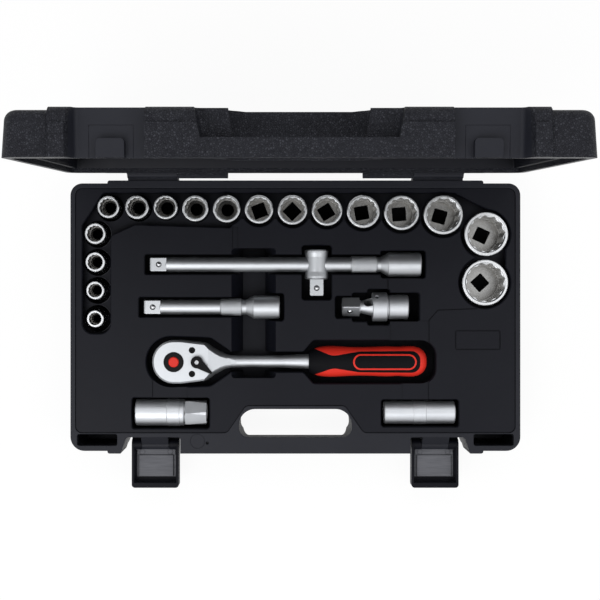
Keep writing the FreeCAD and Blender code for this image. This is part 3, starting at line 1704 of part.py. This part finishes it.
t_ball_z = T_HEAD_L / 2 + 8.0
pieces["t_head"] = as_t_head(t_head())
pieces["t_head_ball"] = as_t_head(detent_ball(t_ball_z))
pieces["t_head_spring"] = as_t_head(detent_spring(t_ball_z))

long_pin, short_pins = joint_pins()
pieces["universal_socket_yoke"] = as_joint(socket_yoke())
pieces["universal_block"] = as_joint(joint_block())
pieces["universal_long_pin"] = as_joint(long_pin)
pieces["universal_short_pins"] = as_joint(short_pins)
pieces["universal_drive_yoke"] = as_drive_yoke(drive_yoke())
pieces["universal_ball"] = as_drive_yoke(detent_ball(FORK_L + 8.0))
pieces["universal_spring"] = as_drive_yoke(detent_spring(FORK_L + 8.0))

grip_core, grip_inlay, grip_badge = ratchet_grip()
pieces["ratchet_body"] = at_handle(ratchet_body())
pieces["ratchet_cover"] = at_handle(ratchet_cover())
pieces["ratchet_screws"] = at_handle(ratchet_screws())
pieces["ratchet_drive_gear"] = at_handle(drive_gear())
pieces["ratchet_collar"] = at_handle(drive_collar())
pieces["ratchet_release_button"] = at_handle(release_button())
pieces["ratchet_button_spring"] = at_handle(button_spring())
pieces["ratchet_ball"] = at_handle(Part.makeSphere(BALL_R, V(0, -BALL_OFF, BALL_Z)))
pieces["ratchet_lever"] = at_handle(reversing_lever())
pieces["ratchet_lever_hub"] = at_handle(lever_hub())
pieces["ratchet_pawl"] = at_handle(pawl())
pieces["ratchet_grip"] = at_handle(grip_core)
pieces["ratchet_grip_inlay"] = at_handle(grip_inlay)
pieces["ratchet_grip_badge"] = at_handle(grip_badge)

large_plug = plug_socket(LARGE_PLUG_R, LARGE_PLUG_HEX, PLUG_BAND_X, PLUG_HEX_L)
small_plug = plug_socket(SMALL_PLUG_R, SMALL_PLUG_HEX, SMALL_BAND_X, 0)
for name, plug, x, across in (
    ("large_plug_socket", large_plug, LARGE_PLUG_X, LARGE_PLUG_HEX),
    ("small_plug_socket", small_plug, SMALL_PLUG_X, SMALL_PLUG_HEX),
):
    pieces[name] = laid(plug, x, PLUG_Y, PLUG_Z)
    pieces[f"{name}_sleeve"] = laid(plug_sleeve(across), x, PLUG_Y, PLUG_Z)

for name, shape in pieces.items():
    shape.exportStep(f"parts/{name}.step")
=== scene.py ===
import math

import bmesh
import bpy
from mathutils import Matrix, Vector
from mathutils.bvhtree import BVHTree


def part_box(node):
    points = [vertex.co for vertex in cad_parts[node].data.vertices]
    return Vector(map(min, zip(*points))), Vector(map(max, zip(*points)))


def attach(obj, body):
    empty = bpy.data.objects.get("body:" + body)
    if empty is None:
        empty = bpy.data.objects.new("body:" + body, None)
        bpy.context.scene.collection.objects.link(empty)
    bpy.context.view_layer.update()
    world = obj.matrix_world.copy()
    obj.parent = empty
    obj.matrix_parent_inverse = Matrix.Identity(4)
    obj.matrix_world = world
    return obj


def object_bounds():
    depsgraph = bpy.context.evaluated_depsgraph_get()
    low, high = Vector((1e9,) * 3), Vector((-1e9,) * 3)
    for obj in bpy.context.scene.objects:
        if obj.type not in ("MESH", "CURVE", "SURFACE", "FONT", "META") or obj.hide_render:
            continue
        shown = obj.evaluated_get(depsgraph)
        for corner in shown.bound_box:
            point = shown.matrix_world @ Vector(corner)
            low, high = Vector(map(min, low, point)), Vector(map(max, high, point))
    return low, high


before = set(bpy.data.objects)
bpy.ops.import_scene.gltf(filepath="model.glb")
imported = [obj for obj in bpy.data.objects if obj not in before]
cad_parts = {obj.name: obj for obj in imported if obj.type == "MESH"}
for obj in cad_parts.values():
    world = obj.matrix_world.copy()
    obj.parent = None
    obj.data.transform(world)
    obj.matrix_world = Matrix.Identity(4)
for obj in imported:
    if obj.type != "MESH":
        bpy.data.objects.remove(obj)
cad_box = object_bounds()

# Case base. The lower half is injection-moulded in black polypropylene: the outer
# walls come out of the tool with a leather grain, the rim, the deck and the latch
# notches are left satin. Two steel pins a side carry the lid and the latches.


class Wire:
    """One shader socket. Sums on it add Math nodes, and add() makes any other node."""

    def __init__(self, tree, socket):
        self.tree = tree
        self.socket = socket

    def add(self, kind, settings=None, sockets=None, out=0):
        node = self.tree.nodes.new("ShaderNode" + kind)
        for key, value in (settings or {}).items():
            if key == "stops":
                stops = node.color_ramp.elements
                for stop, (at, shade) in zip(stops, value):
                    stop.position = at
                    stop.color = (shade, shade, shade, 1)
            else:
                setattr(node, key, value)
        for key, value in (sockets or {}).items():
            if isinstance(value, Wire):
                self.tree.links.new(value.socket, node.inputs[key])
            else:
                node.inputs[key].default_value = value
        return Wire(self.tree, node.outputs[out])

    def maths(self, operation, *values):
        return self.add("Math", {"operation": operation}, dict(enumerate(values)))

    def __add__(self, other):
        return self.maths("ADD", self, other)

    def __radd__(self, other):
        return self.maths("ADD", other, self)

    def __sub__(self, other):
        return self.maths("SUBTRACT", self, other)

    def __rsub__(self, other):
        return self.maths("SUBTRACT", other, self)

    def __mul__(self, other):
        return self.maths("MULTIPLY", self, other)

    def __rmul__(self, other):
        return self.maths("MULTIPLY", other, self)

    def __gt__(self, other):
        return self.maths("GREATER_THAN", self, other)

    def __lt__(self, other):
        return self.maths("LESS_THAN", self, other)

    def __abs__(self):
        return self.maths("ABSOLUTE", self)


def finish(name, steady, varying):
    """A material with steady values on the shader and varying ones from the place."""
    material = bpy.data.materials.new(name)
    material.use_nodes = True
    tree = material.node_tree
    shader = tree.nodes["Principled BSDF"]
    for socket, value in steady.items():
        shader.inputs[socket].default_value = value
    place = Wire(tree, None).add("TexCoord", out="Object")
    for socket, wire in varying(place).items():
        tree.links.new(wire.socket, shader.inputs[socket])
    return material


def noise(place, scale, detail=2.0):
    return place.add("TexNoise", {}, {"Vector": place, "Scale": scale, "Detail": detail})


def blend(mask, low, high):
    """Colour from low to high as the mask goes from 0 to 1."""
    low, high = [c if isinstance(c, Wire) else (*c, 1) for c in (low, high)]
    return mask.add("Mix", {"data_type": "RGBA"}, {0: mask, 6: low, 7: high}, out=2)


def relief(height, depth, edge=None):
    """Normal from a height map, with the moulded round of the edges under it."""
    sockets = {"Height": height, "Distance": depth, "Strength": 1.0}
    if edge:
        sockets["Normal"] = height.add("Bevel", {"samples": 4}, {"Radius": edge})
    return height.add("Bump", {}, sockets)


def axes(wire):
    split = wire.add("SeparateXYZ", {}, {0: wire})
    return [Wire(wire.tree, output) for output in split.socket.node.outputs]


CASE_DARK = (0.0034, 0.0037, 0.0062)
CASE_PALE = (0.0150, 0.0160, 0.0215)
CASE_PAINTED_GLINT = (0.034, 0.036, 0.044)  # painted highlight on pebbles that catch the light
GRAIN_CELLS = 640.0  # grain pebbles per metre
GRAIN_DEPTH = 0.00032
GRAIN_SWAY = 0.0009  # how far the pebbles stray
MOULD_EDGE = 0.0009


def leather_grain(place):
    """Height of the pebbled grain, 0 in the valleys, and a strength of painted glint per
    pebble.
    """
    sway = place.add("TexNoise", {}, {"Vector": place, "Scale": 900.0}, out=1)
    bent = place.add(
        "VectorMath",
        {"operation": "MULTIPLY_ADD"},
        {0: sway, 1: (GRAIN_SWAY,) * 3, 2: place},
    )
    cell = place.add(
        "TexVoronoi",
        {"feature": "DISTANCE_TO_EDGE"},
        {"Vector": bent, "Scale": GRAIN_CELLS},
    )
    stops = {"stops": [(0.02, 0.0), (0.30, 1.0)]}
    height = cell.add("ValToRGB", stops, {0: cell})
    shade = axes(place.add("TexVoronoi", {}, {"Vector": bent, "Scale": GRAIN_CELLS}, out=1))[0]
    return height, shade


def case_plastic(grained):
    """Moulded black plastic; grained() tells where the leather grain is."""

    def varying(place):
        mask = grained(place)
        fine = noise(place, 2600.0, 3.0)
        cloud = noise(place, 22.0, 3.0)
        pebble, shade = leather_grain(place)
        height = pebble * mask + fine * (0.26 - 0.16 * mask)
        plain = blend(0.55 + cloud * 0.45 - 0.55 * mask, CASE_DARK, CASE_PALE)
        return {
            # pebble tops painted with a highlight, at a random strength each
            "Base Color": blend(pebble * mask * shade, plain, CASE_PAINTED_GLINT),
            "Roughness": 0.38 + 0.10 * cloud + 0.10 * mask - 0.08 * pebble * mask,
            "Normal": relief(height, GRAIN_DEPTH, MOULD_EDGE),
        }

    return varying


NOTCH_X = (0.1055, 0.1600)
NOTCH_Y = -0.1050
FACES_UP = 0.6


def base_grain(place):
    up = axes(place.add("TexCoord", out="Normal"))[2]
    x, y, _ = axes(place)
    notch = (abs(x) > NOTCH_X[0]) * (abs(x) < NOTCH_X[1]) * (y < NOTCH_Y)
    return (up < FACES_UP) * (1.0 - notch)


def dress(material, *names):
    """Give carried-over nodes their finish."""
    for name in names:
        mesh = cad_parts[name].data
        mesh.materials.clear()
        mesh.materials.append(material)


PLASTIC = {"Specular IOR Level": 0.13}
base_plastic = finish("case_base_plastic", PLASTIC, case_plastic(base_grain))
dress(base_plastic, "base_shell")


def placed(name, shape):
    """A new mesh piece from a bmesh, linked into the scene."""
    mesh = bpy.data.meshes.new(name)
    shape.to_mesh(mesh)
    shape.free()
    piece = bpy.data.objects.new(name, mesh)
    bpy.context.scene.collection.objects.link(piece)
    return piece


def height_over(*nodes):
    """Finder of the height of the upper face of some nodes at a place in plan."""
    graph = bpy.context.evaluated_depsgraph_get()
    trees = [BVHTree.FromObject(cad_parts[node], graph) for node in nodes]

    def height(x, y):
        hits = [t.ray_cast(Vector((x, y, 1.0)), Vector((0, 0, -1)))[0] for t in trees]
        return max(hit.z for hit in hits if hit)

    return height


def ring(x, y, r, points=32):
    turns = [2 * math.pi * k / points for k in range(points)]
    return [(x + r * math.cos(a), y + r * math.sin(a)) for a in turns]


MARK_W = 0.00045
MARK_RISE = 0.00014
MARK_SINK = 0.0002


def mould_marks(name, nodes, paths, closed=True, width=MARK_W):
    """Fine raised lines along paths in plan, as the mould leaves them on nodes."""
    height = height_over(*nodes)
    shape = bmesh.new()
    section = (
        (-1.0, -MARK_SINK), (-0.55, MARK_RISE), (0.55, MARK_RISE), (1.0, -MARK_SINK)
    )
    for path in paths:
        last = len(path) - 1
        rows = []
        for i, (x, y) in enumerate(path):
            before = path[i - 1] if closed or i else path[0]
            after = path[0 if i == last else i + 1] if closed or i < last else path[last]
            along = (Vector(after) - Vector(before)).normalized()
            z = height(x, y)
            rows.append(
                [
                    shape.verts.new((x - k * width * along.y, y + k * width * along.x, z + up))
                    for k, up in section
                ]
            )
        runs = list(zip(rows, rows[1:])) + ([(rows[-1], rows[0])] if closed else [])
        for near, far in runs:
            for k in range(4):
                m = (k + 1) % 4
                shape.faces.new((near[k], near[m], far[m], far[k]))
        if not closed:
            shape.faces.new(rows[0])
            shape.faces.new(rows[-1])
    bmesh.ops.recalc_face_normals(shape, faces=shape.faces)
    return placed(name, shape)


GATE = (-0.0902, -0.1130)
GATE_R = 0.0066
gate = mould_marks("base_gate_ring", ["base_shell"], [ring(*GATE, GATE_R)])
gate.data.materials.append(base_plastic)
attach(gate, "base")

STEEL_DARK = (0.36, 0.37, 0.385)
STEEL_PALE = (0.54, 0.55, 0.57)


def bright_steel(place):
    streak = noise(place, 700.0, 4.0)
    return {
        "Base Color": blend(streak, STEEL_DARK, STEEL_PALE),
        "Roughness": 0.16 + 0.14 * streak,
        "Normal": relief(noise(place, 3000.0), 0.00001, 0.0002),
    }


bright = finish("bright_steel", {"Metallic": 1.0}, bright_steel)
dress(bright, "hinge_pins", "latch_pins")

# Tool tray. A satin black moulding that drops into the base, with one pocket for
# each tool. The size of every socket stands beside its pocket in small raised
# numbers, moulded in one with the tray.

TRAY_DARK = (0.0034, 0.0037, 0.0064)
TRAY_PALE = (0.0070, 0.0076, 0.0115)
POCKET_PAINTED_SHADE = (0.0010, 0.0011, 0.0018)  # painted shade deep in the pockets, which the mould also leaves matt
POCKET_REACH = 0.030


def open_to_light(place, reach, closed, clear):
    """0 deep inside a piece's own hollows, 1 on its open faces."""
    shade = place.add(
        "AmbientOcclusion", {"samples": 8, "only_local": True}, {"Distance": reach}, out="AO"
    )
    return shade.add("ValToRGB", {"stops": [(closed, 0.0), (clear, 1.0)]}, {0: shade})


def tray_plastic(place):
    fine = noise(place, 3200.0, 2.0)
    cloud = noise(place, 14.0, 3.0)
    rub = noise(place, 160.0, 5.0)
    lit = open_to_light(place, POCKET_REACH, 0.35, 0.85)
    return {
        # deep in the pockets the colour is painted shade
        "Base Color": blend(lit, POCKET_PAINTED_SHADE, blend(cloud, TRAY_DARK, TRAY_PALE)),
        "Roughness": 0.74 - 0.40 * lit + 0.10 * cloud + 0.08 * rub,
        "Normal": relief(fine * 0.6 + rub * 0.4, 0.00005),
    }


satin_black = finish("tray_plastic", {"Specular IOR Level": 0.10}, tray_plastic)
dress(satin_black, "tool_tray", "socket_rack")

NUMBER_RISE = 0.0002
NUMBER_SINK = 0.0001
DIGIT_SHARE = 0.70  # of the type size


def raised_numbers(name, numbers, z):
    """Moulded numbers (text, x, y, height, turn) on a face at z, as one mesh."""
    shape = bmesh.new()
    for text, x, y, height, turn in numbers:
        curve = bpy.data.curves.new(name, "FONT")
        curve.body = text
        curve.size = height / DIGIT_SHARE
        curve.align_x = "CENTER"
        curve.align_y = "CENTER"
        curve.extrude = (NUMBER_RISE + NUMBER_SINK) / 2
        curve.resolution_u = 3
        letters = bpy.data.objects.new(name, curve)
        bpy.context.scene.collection.objects.link(letters)
        letters.location = (x, y, z + (NUMBER_RISE - NUMBER_SINK) / 2)
        letters.rotation_euler = (0, 0, turn)
        bpy.context.view_layer.update()
        mesh = bpy.data.meshes.new_from_object(
            letters.evaluated_get(bpy.context.evaluated_depsgraph_get())
        )
        mesh.transform(letters.matrix_world)
        shape.from_mesh(mesh)
        bpy.data.meshes.remove(mesh)
        bpy.data.objects.remove(letters)
        bpy.data.curves.remove(curve)
    bmesh.ops.remove_doubles(shape, verts=shape.verts, dist=1e-6)
    return placed(name, shape)


def middle(node):
    low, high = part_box(node)
    return (low + high) / 2


tray_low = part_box("socket_rack")[0]
tray_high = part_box("tool_tray")[1]
TRAY_FACE = 0.0468
tray_numbers = []
for size in (10, 11, 12, 13):
    at = middle(f"socket_{size}mm")
    tray_numbers.append((str(size), tray_low.x + 0.0026, at.y, 0.0026, math.pi / 2))
for size in (14, 15, 16, 17, 18, 19, 20, 21, 22, 24, 27):
    at = middle(f"socket_{size}mm")
    tray_numbers.append((str(size), at.x, tray_high.y - 0.0013, 0.0019, 0.0))
for size in (30, 32):
    at = middle(f"socket_{size}mm")
    tray_numbers.append((str(size), tray_high.x - 0.0016, at.y, 0.0022, math.pi / 2))
sizes = raised_numbers("tray_size_numbers", tray_numbers, TRAY_FACE)
sizes.data.materials.append(satin_black)
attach(sizes, "base")

LIP_R = 0.01285  # just outside the pockets of the four smallest sockets
LIP_W = 0.00022
LIP_REACH = math.radians(70.0)
# The lips are painted pale as a highlight, along the +X side of each pocket only.
LIP_HIGHLIGHT_DARK = (0.030, 0.031, 0.036)
LIP_HIGHLIGHT_PALE = (0.085, 0.087, 0.096)


def worn_edge(place):
    rub = noise(place, 420.0, 3.0)
    return {
        "Base Color": blend(rub, LIP_HIGHLIGHT_DARK, LIP_HIGHLIGHT_PALE),
        "Roughness": 0.30 + 0.20 * rub,
        "Normal": relief(rub, 0.00003),
    }


lips = []
for size in (10, 11, 12, 13):
    at = middle(f"socket_{size}mm")
    turns = [LIP_REACH * k / 12 for k in range(-12, 13)]
    lips.append([(at.x + LIP_R * math.cos(a), at.y + LIP_R * math.sin(a)) for a in turns])
edges = mould_marks(
    "rack_pocket_lips", ["socket_rack", "tool_tray"], lips, closed=False, width=LIP_W
)
edges.data.materials.append(finish("painted_highlight_edge", PLASTIC, worn_edge))
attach(edges, "base")

# Lid. The upper half matches the base: leather-grained outside, satin in the latch
# recesses and on the rim. A thin pan-shaped liner closes its inside.


RECESS_Z = (0.2700, 0.3005)


def lid_grain(place):
    rearward = axes(place.add("TexCoord", out="Normal"))[1]
    x, _, z = axes(place)
    recess = (abs(x) > NOTCH_X[0]) * (abs(x) < NOTCH_X[1])
    recess = recess * (z > RECESS_Z[0]) * (z < RECESS_Z[1])
    return (rearward > -FACES_UP) * (1.0 - recess)


lid_plastic = finish("case_lid_plastic", PLASTIC, case_plastic(lid_grain))
dress(lid_plastic, "lid_shell")
dress(satin_black, "lid_liner")

LATCH_X = 0.131
INSERT_HALF = 0.0155
INSERT_NEAR, INSERT_FAR = 0.1190, 0.1415
frames = []
for side in (-1, 1):
    x0 = side * LATCH_X - INSERT_HALF
    x1 = side * LATCH_X + INSERT_HALF
    frames.append([(x0, INSERT_NEAR), (x0, INSERT_FAR), (x1, INSERT_FAR), (x1, INSERT_NEAR)])
inserts = mould_marks("lid_insert_lines", ["lid_shell"], frames, closed=False)
inserts.data.materials.append(lid_plastic)
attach(inserts, "lid")

# Latches. Two moulded caps that swing on pins in the front of the base and hook
# over the lid. Their outsides are grained like the case, the insides satin.


def latch_grain(place):
    return axes(place.add("TexCoord", out="Normal"))[2] < -0.5


PANEL_REFLECTION_DARK = (0.070, 0.072, 0.082)
PANEL_REFLECTION_PALE = (0.145, 0.147, 0.162)
PANEL_HALF = 0.0182
PANEL_Y = (-0.1500, -0.1238)


def latch_finish(place):
    """Grained outside; a paler, streaky grey reflection painted on the inner panel, and
    painted shade on the other faces turned up.
    """
    wires = case_plastic(latch_grain)(place)
    x, y, _ = axes(place)
    up = axes(place.add("TexCoord", out="Normal"))[2]
    panel = (abs(abs(x) - LATCH_X) < PANEL_HALF) * (y > PANEL_Y[0]) * (y < PANEL_Y[1])
    slant = place.add("Mapping", {}, {0: place, 2: (0, 0, 0.9), 3: (60.0, 700.0, 60.0)})
    streak = noise(slant, 1.0, 3.0)
    # painted reflection: a paler streaky grey on the inner panel
    painted_reflection = blend(streak, PANEL_REFLECTION_DARK, PANEL_REFLECTION_PALE)
    # painted shade: the faces turned up outside the panel go dark
    dark = blend(up > 0.5, wires["Base Color"], CASE_DARK)
    wires["Base Color"] = blend(panel * (up > 0.8), dark, painted_reflection)
    return wires


latch_plastic = finish("latch_plastic", {"Specular IOR Level": 0.07}, latch_finish)
dress(latch_plastic, "latch_left", "latch_right")

EJECTOR_R = 0.0024
EJECTOR_Y = -0.1266
EJECTOR_SPAN = 0.0132  # from the middle of the latch
for side, name in ((-1, "latch_left"), (1, "latch_right")):
    middles = [side * LATCH_X + k * EJECTOR_SPAN for k in (-1, 1)]
    spots = [ring(x, EJECTOR_Y, EJECTOR_R) for x in middles]
    rings = mould_marks(f"{name}_ejector_rings", [name], spots)
    rings.data.materials.append(latch_plastic)
    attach(rings, name)

# Sockets. Seventeen forged chrome-vanadium sockets with a satin chrome plating,
# twelve-point inside, standing on their drive ends in the tray.

CHROME_DARK = (0.415, 0.430, 0.455)
CHROME_PALE = (0.485, 0.500, 0.525)
POLISHED_DARK = (0.60, 0.615, 0.635)
POLISHED_PALE = (0.68, 0.695, 0.715)
BORE_STEEL_IN_SHADE = (0.150, 0.143, 0.130)  # thinly plated steel inside the bores, darkened further by painted shade
BORE_REACH = 0.05


def chrome_plate(rough, dark, pale):
    """Chrome of a given roughness, duller down in the bores and painted darker and browner
    there as shade.
    """

    def varying(place):
        cloud = noise(place, 90.0, 4.0)
        blast = noise(place, 5200.0, 2.0)
        plated_and_unshaded = open_to_light(place, BORE_REACH, 0.12, 0.58)
        skin = blend(cloud, dark, pale)
        return {
            # deep in the bores the colour is painted shade over the duller steel
            "Base Color": blend(plated_and_unshaded, BORE_STEEL_IN_SHADE, skin),
            "Roughness": rough + 0.04 - 0.04 * plated_and_unshaded + 0.08 * cloud + 0.05 * blast,
            "Normal": relief(blast, 0.000012, 0.00025),
        }

    return varying


polished = finish(
    "polished_chrome", {"Metallic": 1.0}, chrome_plate(0.17, POLISHED_DARK, POLISHED_PALE)
)
SIZES = (10, 11, 12, 13, 14, 15, 16, 17, 18, 19, 20, 21, 22, 24, 27, 30, 32)
dress(polished, *[f"socket_{size}mm" for size in SIZES])

# Spark plug sockets. Two long six-point sockets of the same plated steel, each with
# a rubber sleeve pressed inside that grips the plug.

RUBBER_DARK = (0.0022, 0.0023, 0.0031)
RUBBER_PALE = (0.0046, 0.0048, 0.0062)


def black_rubber(place):
    fine = noise(place, 1800.0, 4.0)
    cloud = noise(place, 40.0, 3.0)
    return {
        "Base Color": blend(cloud, RUBBER_DARK, RUBBER_PALE),
        "Roughness": 0.52 + 0.16 * fine,
        "Normal": relief(fine, 0.00004, 0.0004),
    }


rubber = finish("black_rubber", {"Specular IOR Level": 0.06}, black_rubber)
chrome = finish(
    "satin_chrome", {"Metallic": 1.0}, chrome_plate(0.40, CHROME_DARK, CHROME_PALE)
)
dress(chrome, "large_plug_socket", "small_plug_socket")
dress(rubber, "large_plug_socket_sleeve", "small_plug_socket_sleeve")

# Extension bars. Round plated bars with a square drive at one end, a socket end at
# the other and a rolled diamond knurl to grip them by. A sprung steel ball in the
# drive holds whatever is put on it.

BAR_DARK = (0.375, 0.390, 0.410)
BAR_PALE = (0.440, 0.455, 0.475)
bar_chrome = finish("bar_chrome", {"Metallic": 1.0}, chrome_plate(0.40, BAR_DARK, BAR_PALE))
dress(bar_chrome, "long_extension_bar", "short_extension_bar")

KNURL_STEP = 0.0011  # one diamond
KNURL_SAMPLES = 4
KNURL_HIGH = 0.0002  # points above the band
KNURL_LOW = 0.00008  # valleys below it


def wave(turns):
    """Triangle wave, 0 at whole turns and 1 halfway."""
    return 1.0 - abs(2.0 * (turns % 1.0) - 1.0)


def knurled_band(name, x0, x1, y, z, r):
    """Sleeve of raised diamonds around a bar along X."""
    starts = round(2 * math.pi * r / KNURL_STEP)
    around = starts * KNURL_SAMPLES
    rows = round((x1 - x0) / KNURL_STEP)
    along = rows * KNURL_SAMPLES
    shape = bmesh.new()
    rings = []
    for i in range(along + 1):
        v = i / KNURL_SAMPLES
        x = x0 + (x1 - x0) * i / along
        circle = []
        for j in range(around):
            u = j / KNURL_SAMPLES
            point = min(wave(u + v), wave(u - v))
            out = -KNURL_LOW + (KNURL_HIGH + KNURL_LOW) * point
            if i in (0, along):
                out = -3 * KNURL_LOW
            a = 2 * math.pi * j / around
            circle.append(
                shape.verts.new((x, y + (r + out) * math.sin(a), z + (r + out) * math.cos(a)))
            )
        rings.append(circle)
    for near, far in zip(rings, rings[1:]):
        for j in range(around):
            k = (j + 1) % around
            shape.faces.new((near[j], near[k], far[k], far[j]))
    return placed(name, shape)


BAR_HEIGHT = 0.040
KNURL_R = 0.00775
KNURL_MARGIN = 0.0011  # plain rim at each end of the band
for which, start, length in (("long", 0.1850, 0.0250), ("short", 0.0700, 0.0205)):
    bar_low, bar_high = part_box(f"{which}_extension_bar")
    bar_y = (bar_low.y + bar_high.y) / 2
    x0 = bar_low.x + start + KNURL_MARGIN
    x1 = bar_low.x + start + length - KNURL_MARGIN
    band = knurled_band(f"{which}_bar_knurl", x0, x1, bar_y, BAR_HEIGHT, KNURL_R)
    band.data.materials.append(bar_chrome)
    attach(band, f"{which}_extension")
dress(bright, "long_extension_ball", "short_extension_ball")
dress(bright, "long_extension_spring", "short_extension_spring")

# Sliding T-head. A forged sleeve that slides along the long bar, with its own square
# drive and ball.

dress(bar_chrome, "t_head")
dress(bright, "t_head_ball", "t_head_spring")

# Universal joint. Two plated yokes on a steel cross block, held by pressed pins.

yoke_chrome = finish(
    "yoke_chrome", {"Metallic": 1.0}, chrome_plate(0.46, CHROME_DARK, CHROME_PALE)
)
dress(yoke_chrome, "universal_socket_yoke", "universal_drive_yoke")
dress(bright, "universal_block", "universal_long_pin", "universal_short_pins")
dress(bright, "universal_ball", "universal_spring")

# Ratchet. A forged, plated head and shaft with a toothed drive inside. A blackened
# collar and lever sit on top, the lever on a bright hub. The handle is soft black
# rubber over the tang, with harder red inlays.

dress(bar_chrome, "ratchet_body")
dress(bright, "ratchet_cover", "ratchet_drive_gear", "ratchet_lever_hub")
dress(bright, "ratchet_ball", "ratchet_button_spring", "ratchet_pawl")

BLACKENED_DARK = (0.0022, 0.0023, 0.0027)
BLACKENED_PALE = (0.0052, 0.0053, 0.0060)


def blackened(place):
    fine = noise(place, 1400.0, 4.0)
    return {
        "Base Color": blend(fine, BLACKENED_DARK, BLACKENED_PALE),
        "Roughness": 0.34 + 0.16 * fine,
        "Normal": relief(fine, 0.00002, 0.0003),
    }


dress(
    finish("blackened_metal", {"Specular IOR Level": 0.08}, blackened),
    "ratchet_screws",
    "ratchet_collar",
    "ratchet_lever",
)
dress(rubber, "ratchet_grip")

RED_DEEP = (0.58, 0.021, 0.013)
RED_CLEAR = (0.72, 0.034, 0.020)


def red_plastic(place):
    fine = noise(place, 1500.0, 3.0)
    cloud = noise(place, 60.0, 3.0)
    return {
        "Base Color": blend(cloud, RED_DEEP, RED_CLEAR),
        "Roughness": 0.34 + 0.14 * fine,
        "Normal": relief(fine, 0.00002, 0.0003),
    }


dress(
    finish("red_plastic", {"Specular IOR Level": 0.20}, red_plastic),
    "ratchet_release_button",
    "ratchet_grip_inlay",
    "ratchet_grip_badge",
)

FIELD_INSET = 0.0014  # red border left around the field
FIELD_RISE = 0.00016


def pill_field(name, node):
    """Thin black patch that follows the crown of the pill, its edge sunk in."""
    low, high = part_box(node)
    height = height_over(node)
    half = (high.y - low.y) / 2 - FIELD_INSET
    y = (low.y + high.y) / 2
    left, right = low.x + half + FIELD_INSET, high.x - half - FIELD_INSET
    steps = 16
    across = [right + (left - right) * k / steps for k in range(steps + 1)]
    bends = [math.pi * (k / steps - 0.5) for k in range(steps + 1)]
    around = [(right, a) for a in bends] + [(x, math.pi / 2) for x in across]
    around += [(left, a + math.pi) for a in bends]
    around += [(x, -math.pi / 2) for x in across[::-1]]
    shape = bmesh.new()
    loops = []
    for share in (1.0, 0.97, 0.75, 0.5, 0.25, 0.0):
        up = -FIELD_RISE if share == 1.0 else FIELD_RISE
        loop = []
        for x, a in around:
            px = x + share * half * math.cos(a)
            py = y + share * half * math.sin(a)
            loop.append(shape.verts.new((px, py, height(px, py) + up)))
        loops.append(loop)
    for outer, inner in zip(loops, loops[1:]):
        for k in range(len(outer)):
            m = (k + 1) % len(outer)
            shape.faces.new((outer[k], outer[m], inner[m], inner[k]))
    bmesh.ops.remove_doubles(shape, verts=shape.verts, dist=1e-6)
    bmesh.ops.recalc_face_normals(shape, faces=shape.faces)
    return placed(name, shape)


field = pill_field("grip_pill_field", "ratchet_grip_badge")
field.data.materials.append(rubber)
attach(field, "ratchet")

# Studio. The case lies on a white sweep under soft light, seen straight from above.

FLOOR_HALF = 4.0
floor_shape = bmesh.new()
bmesh.ops.create_grid(floor_shape, x_segments=8, y_segments=8, size=FLOOR_HALF)
floor = placed("studio_floor", floor_shape)
floor.location.z = cad_box[0][2] - 0.0002
sweep = bpy.data.materials.new("white_sweep")
sweep.use_nodes = True
sweep_tree = sweep.node_tree
paper = sweep_tree.nodes["Principled BSDF"]
paper.inputs["Base Color"].default_value = (0.90, 0.90, 0.90, 1)
paper.inputs["Roughness"].default_value = 0.9
paper.inputs["Specular IOR Level"].default_value = 0.1
SWEEP_GLOW = 0.92  # the rest of the sweep takes the shadow


def seen_rays(tree):
    """1 for what the eye sees straight, in a reflection or through a piece."""
    eye = Wire(tree, None).add("LightPath", out="Is Camera Ray")
    kinds = ("Is Glossy Ray", "Is Transmission Ray")
    glossy, through = [Wire(tree, eye.socket.node.outputs[kind]) for kind in kinds]
    return eye.maths("MAXIMUM", eye, glossy.maths("MAXIMUM", glossy, through))


shows = seen_rays(sweep_tree)
glow = shows.add("Emission", {}, {"Color": (1, 1, 1, 1), "Strength": 1.0})
mixed = shows.add(
    "MixShader", {}, {0: shows * SWEEP_GLOW, 1: Wire(sweep_tree, paper.outputs[0]), 2: glow}
)
sweep_tree.links.new(mixed.socket, sweep_tree.nodes["Material Output"].inputs["Surface"])
floor.data.materials.append(sweep)

world = bpy.data.worlds.new("studio")
world.use_nodes = True
bpy.context.scene.world = world
sky_tree = world.node_tree
sky = sky_tree.nodes["Background"]
sky.inputs["Color"].default_value = (1, 1, 1, 1)
AMBIENT = 0.55
level = AMBIENT + (1.0 - AMBIENT) * seen_rays(sky_tree)
sky_tree.links.new(level.socket, sky.inputs["Strength"])


def soft_box(name, place, aim, size, watts):
    lamp = bpy.data.lights.new(name, "AREA")
    lamp.shape = "RECTANGLE"
    lamp.size, lamp.size_y = size
    lamp.energy = watts
    box = bpy.data.objects.new(name, lamp)
    bpy.context.scene.collection.objects.link(box)
    box.location = place
    box.rotation_euler = (Vector(aim) - Vector(place)).to_track_quat("-Z", "Y").to_euler()


soft_box("key_light", (-0.55, -0.70, 1.50), (0, 0, 0), (1.2, 0.9), 15.0)
soft_box("fill_light", (1.0, -0.4, 1.5), (0, 0, 0), (1.0, 1.0), 6.0)
soft_box("rear_light", (0.10, 0.85, 1.45), (0, 0, 0), (1.4, 0.7), 6.0)

EYE = (-0.0114, 0.0290, 1.041)
camera = bpy.data.cameras.new("eye")
camera.sensor_width = 36.0
camera.lens = 64.74
camera.shift_x = 17 / 600
camera.shift_y = -13 / 600
camera.clip_start = 0.01
eye = bpy.data.objects.new("eye", camera)
bpy.context.scene.collection.objects.link(eye)
eye.location = EYE
bpy.context.scene.camera = eye
bpy.context.scene.view_settings.view_transform = "Standard"
